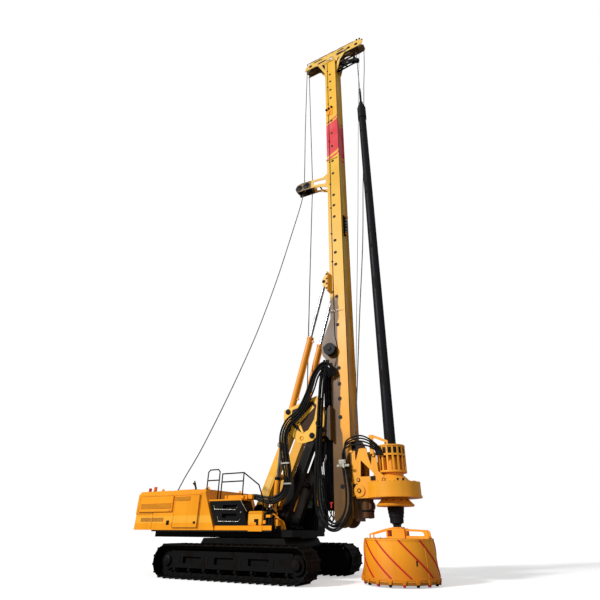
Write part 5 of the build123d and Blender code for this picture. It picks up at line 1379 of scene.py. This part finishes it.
def leadDriveHoses():
    # the loop that hangs from the mast to the drive, and the arcs from its clamp to the motors
    run = hoseRuns(hoses["lineB"], hoses["countB"], hoses["spreadB"])[0]
    blended("hoses_mast_to_drive", hoseRubber, run)
    arcs = []
    for i, lift in enumerate(hoses["arcLifts"]):
        y, x = -0.56 - 0.03 * (i % 2), i * 0.035
        line = [(3.49 + x, -0.55, 3.28), (3.44 + x, y, 3.64), (3.60, y, 3.93 + lift * 0.7),
                (4.00, y, 4.03 + lift),
                (4.32, y, 3.97 + lift), (4.54 + i * 0.04, -0.54, 3.82 + lift * 0.4),
                (4.64 + i * 0.05, -0.50, 3.66)]
        arcs.append(tube(smooth(line, 12), 0.027, 10))
    addPiece("drive_hose_arcs", "drive", hoseRubber, arcs)
    places = [(4.64 + i * 0.05, -0.50, 3.59) for i in range(4)]
    ends = [caps([(0.034, 0.0), (0.040, 0.02), (0.040, 0.09), (0.030, 0.11)], places, sides=14),
            boxes((4.60, -0.54, 3.55), (4.84, -0.42, 3.61))]
    addPiece("drive_hose_ends", "drive", frameBlack, ends, bevel=0.002)
    clamp = boxes([(3.49, -0.53, 3.24), (3.28, -0.69, 3.24), (3.36, -0.70, 3.33), (3.50, -0.71, 3.20)],
                  [(3.56, -0.44, 3.32), (3.72, -0.665, 3.31), (3.60, -0.665, 3.46), (3.56, -0.665, 3.44)])
    strap = tie((3.515, -0.545, 3.28), (-0.05, 0, 0.4), 0.14)
    addPiece("drive_hose_clamp", "drive", zincSteel, [strap, clamp])


def leadMastHoses():
    # turns on the reel, ties of the hanging loop, and leads from the carrier's middle into the cable
    # tray's foot
    x, z = hoses["reel"]
    turns = [ring(0.185 + 0.028 * k, 0.026, (x, -0.452 - 0.012 * k, z), nearSide, 40, 8) for k in range(2)]
    addPiece("reel_hose", "mast", hoseRubber, turns)
    hub = [turned([(0.09, 0.0), (0.09, 0.018), (0.05, 0.024), (0.02, 0.024)], (x, -0.575, z), nearSide),
           bolts(circleOf(6, 0.19, (x, -0.575, z), "y"), nearSide, 0.010, 0.012)]
    addPiece("reel_hub", "mast", frameBlack, hub)
    ties = [tie((2.66, -0.74, 4.60), (0.06, 0, 1.0), 0.12), tie((2.72, -0.73, 5.60), (0.08, 0, 1.0), 0.12)]
    addPiece("mast_hose_ties", "mast", frameBlack, ties)
    leads = []
    for i, drop in enumerate(hoses["leadDrops"]):
        line = [(2.36, 4.22), (2.38, 3.60), (2.42, 2.90), (2.50, 2.20 - drop), (2.66, 1.80 - drop),
                (2.80, 1.84 - drop), (2.86, 2.20), (2.88, 2.60)]
        leads.append(hose(inLane(line, 0.21 - 0.14 * i), 0.019, 12))
    blended("leads_to_mast_foot", hoseRubber, leads)


def leadDeckHoses():
    # hoses up the front post, between the valves, the arms' feet and the hood, and out of the valve bank
    posts, deck, valves = [], [], []
    for i in range(3):
        y = 0.65 + 0.03 * i
        posts.append(hose([(1.70 + 0.03 * i, y + 0.05, 1.40), (1.80, y + 0.01, 2.0),
                           (1.81, 0.655 + 0.03 * i, 3.2), (1.82, y, 4.1),
                           (1.90, 0.64, 4.34 - 0.04 * i), (2.02, 0.62, 4.26 - 0.05 * i), (2.06, 0.60, 3.9)],
                           0.017))
    addPiece("post_hoses", "upper", hoseRubber, posts)
    for i in range(6):
        y, rise = -0.24 + 0.096 * i, 0.05 * math.sin(1.7 * i)
        deck.append(hose([(-0.94, y, 1.62), (-0.60, y, 1.66 + rise), (-0.10, y * 1.05, 1.50), (0.50, y, 1.46),
                          (1.10, y, 1.50 + rise), (1.60, y, 1.44)], 0.020, 10, 0.06))
    addPiece("deck_hoses", "upper", hoseRubber, deck)
    for x, y in hoses["valves"]:
        valves.append(hose([(x, y, 1.96), (x - 0.02, y + 0.02, 2.10), (x - 0.10, y + 0.12, 2.14),
                            (x - 0.14, y + 0.26, 1.98), (x - 0.12, y + 0.40, 1.62)], 0.014, 10, 0.04))
    addPiece("valve_hoses", "upper", hoseRubber, valves)
    places = [(x, y, 1.965) for x, y in hoses["valves"]]
    fittings = caps([(0.020, 0.0), (0.026, 0.006), (0.026, 0.03), (0.014, 0.038)], places, sides=14)
    addPiece("valve_caps", "upper", brassSteel, [fittings])


leadArmHoses()
leadDriveHoses()
leadMastHoses()
leadDeckHoses()
print("hoses led")


# Right walkway: rungs, tread studs, valve pipes, box latches and rail feet
walkway = {
    "rungs": (((-1.08, 2.13), (-1.03, 2.01), (-0.14, 1.985), (-0.07, 2.07)),
              ((-0.88, 1.79), (-0.83, 1.64), (0.02, 1.63), (0.08, 1.70)), ((0.05, 2.26), (0.32, 1.93))),
    "rungFeet": ((-1.03, 2.01), (-0.83, 1.64), (0.08, 1.90)), "pipes": 5,
    "blockLows": ((0.96, -1.47, 1.56), (1.06, -1.46, 1.74), (1.20, -1.30, 1.50), (-0.02, -1.44, 2.33),
                  (0.12, -1.22, 2.32)),
    "blockHighs": ((1.05, -1.38, 1.66), (1.22, -1.38, 1.82), (1.42, -1.12, 1.68), (0.10, -1.34, 2.42),
                   (0.30, -1.06, 2.46)),
    "latch": ((0.64, 1.70), (0.80, 1.70), (0.80, 1.52), (0.72, 1.52), (0.72, 1.61), (0.64, 1.61)),
    "railFeet": ((-1.62, 2.677), (-1.09, 2.320), (-0.96, 2.320), (-0.02, 2.320), (0.86, 1.930)),
}


def dressWalkway():
    rungs = [bar(inLane(line, -1.512), 0.010, 0.03) for line in walkway["rungs"]]
    feet = inLane(walkway["rungFeet"], -1.500)
    rungs.append(caps([(0.026, 0.0), (0.024, 0.012), (0.010, 0.018)], feet, nearSide, 14))
    addPiece("step_rungs", "upper", zincSteel, rungs)
    x, y = np.meshgrid(np.arange(-0.86, 0.05, 0.055), np.arange(-1.46, -1.15, 0.055))
    studs = np.stack([x.ravel(), y.ravel(), np.full(x.size, 2.320)], -1)
    addPiece("step_studs", "upper", zincSteel,
             [caps([(0.012, -0.001), (0.009, 0.004), (0.004, 0.005)], studs, sides=6)])
    pipes = []
    for i in range(walkway["pipes"]):
        pipes.append(hose([(0.98 + 0.09 * i, -1.30, 1.42),
                           (1.00 + 0.09 * i, -1.34 + 0.03 * i, 1.72 + 0.05 * (i % 3)),
                           (1.22 + 0.05 * i, -1.25, 1.86 - 0.04 * i), (1.40 + 0.03 * i, -1.10, 1.62),
                           (1.40 + 0.04 * i, -1.02, 1.40)], 0.014, 8))
    addPiece("deck_pipes", "upper", bodyPaint, pipes)
    blocks = [boxes(walkway["blockLows"], walkway["blockHighs"])]
    addPiece("valve_blocks", "upper", bodyPaint, blocks, 0.006)
    addPiece("tool_box_latch", "upper", frameBlack, [plate(walkway["latch"], -1.512, -1.499)], bevel=0.003)
    apron = [boxes((0.42, -1.516, 1.345), (0.96, -1.500, 1.500))]
    addPiece("tool_box_apron", "upper", hoodPaint, apron, 0.004)
    addPiece("tool_box_seam", "upper", jointAndShadeDark, [boxes((0.40, -1.5015, 1.868), (0.92, -1.4985, 1.876))])
    feet = inLane(walkway["railFeet"], -1.35)
    footed = [caps([(0.055, 0.0), (0.055, 0.010), (0.032, 0.012), (0.030, 0.04)], feet, sides=20)]
    footed += [bolts(circleOf(4, 0.042, (x, y, z + 0.010), "z", 0.8), (0, 0, 1), 0.006, 0.006)
               for x, y, z in feet]
    addPiece("rail_feet", "upper", railBlack, footed)


dressWalkway()
print("walkways dressed")


# Cab: seals, handle, wiper, lamps, mirror and what stands inside
cab = {
    "lampX": 1.50, "lampZ": 3.385, "lampsY": (1.02, 1.70), "leversY": (1.058, 1.658), "pedalsY": (1.26, 1.42),
    "handle": ((1.50, 1.842, 1.92), (1.50, 1.880, 1.94), (1.50, 1.885, 2.0), (1.50, 1.880, 2.06),
               (1.50, 1.842, 2.08)),
    "wiperArm": ((1.792, 1.36, 2.50), (1.752, 1.50, 2.86), (1.70, 1.58, 3.06)),
    "wiperBlade": ((1.768, 1.52, 2.74), (1.697, 1.58, 3.12)),
    "mirrorArm": ((1.74, 1.79, 2.95), (1.84, 1.90, 2.98), (1.86, 1.93, 2.80)), "roofRibs": 6,
}


def frameRound(x0, x1, z0, z1, y0, y1, width):
    # a window seal: four strips round an opening in a side wall
    return sheets([(x0 - width, z0 - width, x1 + width, z0), (x0 - width, z1, x1 + width, z1 + width),
                   (x0 - width, z0, x0, z1), (x1, z0, x1 + width, z1)], y0, y1)


def dressCab():
    addPiece("cab_seals", "upper", sealRubber, [frameRound(0.0, 1.55, 2.08, 3.17, 0.910, 0.918, 0.022)])
    addPiece("cab_door_seal", "cab_door", sealRubber,
             [frameRound(0.86, 1.55, 2.10, 3.10, 1.840, 1.846, 0.022)])
    addPiece("cab_door_glass", "cab_door", cabGlass, [boxes((0.845, 1.818, 2.085), (1.565, 1.826, 3.115))])
    handle = [tube(smooth(cab["handle"], 6), 0.011, 10, (1, 0, 0)),
              boxes((1.475, 1.841, 1.90), (1.525, 1.848, 2.10))]
    addPiece("cab_door_handle", "cab_door", frameBlack, handle, bevel=0.002)
    wiper = [tube([(1.776, 1.36, 2.50), (1.80, 1.36, 2.50)], 0.020, 12, (0, 0, 1)),
             bar(cab["wiperArm"], 0.008, sides=8),
             bar(cab["wiperBlade"], 0.006, sides=8)]
    addPiece("cab_wiper", "upper", sealRubber, wiper)
    x, z = cab["lampX"], cab["lampZ"]
    profile = [(0.030, -0.05), (0.062, -0.02), (0.070, 0.0), (0.070, 0.030), (0.060, 0.036)]
    lamps = [caps(profile, [(x, y, z) for y in cab["lampsY"]], (1, 0, 0))]
    lamps += [boxes((x - 0.04, y - 0.012, 3.300), (x, y + 0.012, 3.345)) for y in cab["lampsY"]]
    addPiece("cab_lamps", "upper", frameBlack, lamps)
    places = [(x + 0.036, y, z) for y in cab["lampsY"]]
    lenses = [caps([(0.060, 0.0), (0.054, 0.008), (0.020, 0.014)], places, (1, 0, 0))]
    addPiece("cab_lamp_lenses", "upper", clearLens, lenses)
    mirror = [tube(smooth(cab["mirrorArm"], 8), 0.012, 10, (0, 0, 1)),
              boxes((1.845, 1.84, 2.48), (1.875, 2.00, 2.80))]
    addPiece("cab_mirror", "upper", frameBlack, mirror, bevel=0.006)
    inside = [boxes([(1.36, 1.12, 1.58), (1.48, 1.02, 1.58), (1.30, 1.04, 2.34)],
                    [(1.62, 1.56, 1.60), (1.64, 1.16, 2.34), (1.60, 1.14, 2.60)])]
    addPiece("cab_console", "upper", sealRubber, inside, bevel=0.008)
    sticks = [tube(smooth([(0.78, y, 2.14), (0.80, y, 2.26), (0.82, y, 2.34)], 6), 0.014, 10)
              for y in cab["leversY"]]
    places = [(0.82, y, 2.33) for y in cab["leversY"]]
    sticks.append(caps([(0.018, 0.0), (0.028, 0.03), (0.026, 0.09), (0.012, 0.11)], places, sides=14))
    sticks += [tube([(1.44, y, 1.60), (1.40, y, 1.98)], 0.012, 8) for y in cab["pedalsY"]]
    addPiece("cab_levers", "upper", frameBlack, sticks)
    ribs = [boxes((-0.15, 0.99 + 0.12 * i, 3.309), (1.45, 1.03 + 0.12 * i, 3.322))
            for i in range(cab["roofRibs"])]
    addPiece("cab_roof_ribs", "upper", hoodPaint, ribs, 0.004)


dressCab()
print("cab dressed")


# Floor, light and camera
stage = {
    "floorReach": 400, "floorGlow": 0.46, "world": 0.30,
    "suns": {"keyLight": (3.0, (-0.45, -0.76, 0.47), 8.0), "fillLight": (0.35, (0.75, -0.60, 0.30), 60.0)},
}
view = {
    "place": (8.703, -14.274, 1.388), "azimuth": 27.338, "pitch": 29.209, "roll": 0.188,
    "lens": 24.80, "shift": (-0.01958, -0.00163),
}


def seenDirectly(nodeTree):
    # 1 where the camera looks, also through glass, and 0 for light that the scene bounces
    straight = nodeTree.node("ShaderNodeLightPath", output="Is Camera Ray")
    return straight.larger(nodeTree.node("ShaderNodeLightPath", output="Is Transmission Ray"))


def stageFloor():
    # a wide flat sheet that looks white to the camera and still takes shadows
    f = Finish("paleFloor")
    seen = seenDirectly(f)
    grain = f.noise(3.0, 4.0)
    pale = f.mix(grain, shade(236, 236, 236), shade(230, 230, 230))
    base = f.mix(seen, shade(150, 150, 150), pale)
    material = f.done(base, 0.9, f.bump(grain, 0.002, 0.2), Specular_IOR_Level=0.1,
                      Emission_Strength=stage["floorGlow"])
    f.feed(f.shader.inputs["Emission Color"], f.mix(seen, (0, 0, 0, 1), (1, 1, 1, 1)))
    r = stage["floorReach"]
    mesh = bpy.data.meshes.new("floor")
    mesh.from_pydata([(-r, -r, 0), (r, -r, 0), (r, r, 0), (-r, r, 0)], [], [(0, 1, 2, 3)])
    mesh.materials.append(material)
    floor = bpy.data.objects.new("floor", mesh)
    bpy.context.scene.collection.objects.link(floor)


def addSuns():
    for name, (strength, source, width) in stage["suns"].items():
        light = bpy.data.lights.new(name, "SUN")
        light.energy = strength
        light.angle = math.radians(width)
        sun = bpy.data.objects.new(name, light)
        sun.rotation_euler = Vector(source).to_track_quat("Z", "Y").to_euler()
        bpy.context.scene.collection.objects.link(sun)


def addWorld():
    # white where the camera looks, and a dim even light for everything else
    world = bpy.data.worlds.new("studio")
    world.use_nodes = True
    sky = NodeTree(world.node_tree)
    back = sky.tree.nodes["Background"]
    back.inputs["Color"].default_value = (1, 1, 1, 1)
    level = {"Value": seenDirectly(sky), "To Min": stage["world"], "To Max": 1.0}
    sky.feed(back.inputs["Strength"], sky.node("ShaderNodeMapRange", inputs=level))
    bpy.context.scene.world = world


def addCamera():
    azimuth, pitch, roll = (math.radians(view[k]) for k in ("azimuth", "pitch", "roll"))
    ahead = Vector((-math.sin(azimuth) * math.cos(pitch), math.cos(azimuth) * math.cos(pitch),
                    math.sin(pitch)))
    right = Vector((math.cos(azimuth), math.sin(azimuth), 0.0))
    top = right.cross(ahead)
    right, top = right * math.cos(roll) + top * math.sin(roll), top * math.cos(roll) - right * math.sin(roll)
    lens = bpy.data.cameras.new("photoView")
    lens.lens = view["lens"]
    lens.sensor_width = 36.0
    lens.shift_x, lens.shift_y = view["shift"]
    lens.clip_end = 2000.0
    camera = bpy.data.objects.new("photoView", lens)
    camera.matrix_world = Matrix((right, top, -ahead)).transposed().to_4x4()
    camera.location = view["place"]
    bpy.context.scene.collection.objects.link(camera)
    bpy.context.scene.camera = camera


stageFloor()
addSuns()
addWorld()
addCamera()
bpy.context.scene.view_settings.view_transform = "Standard"
print("stage set")

bpy.context.view_layer.update()
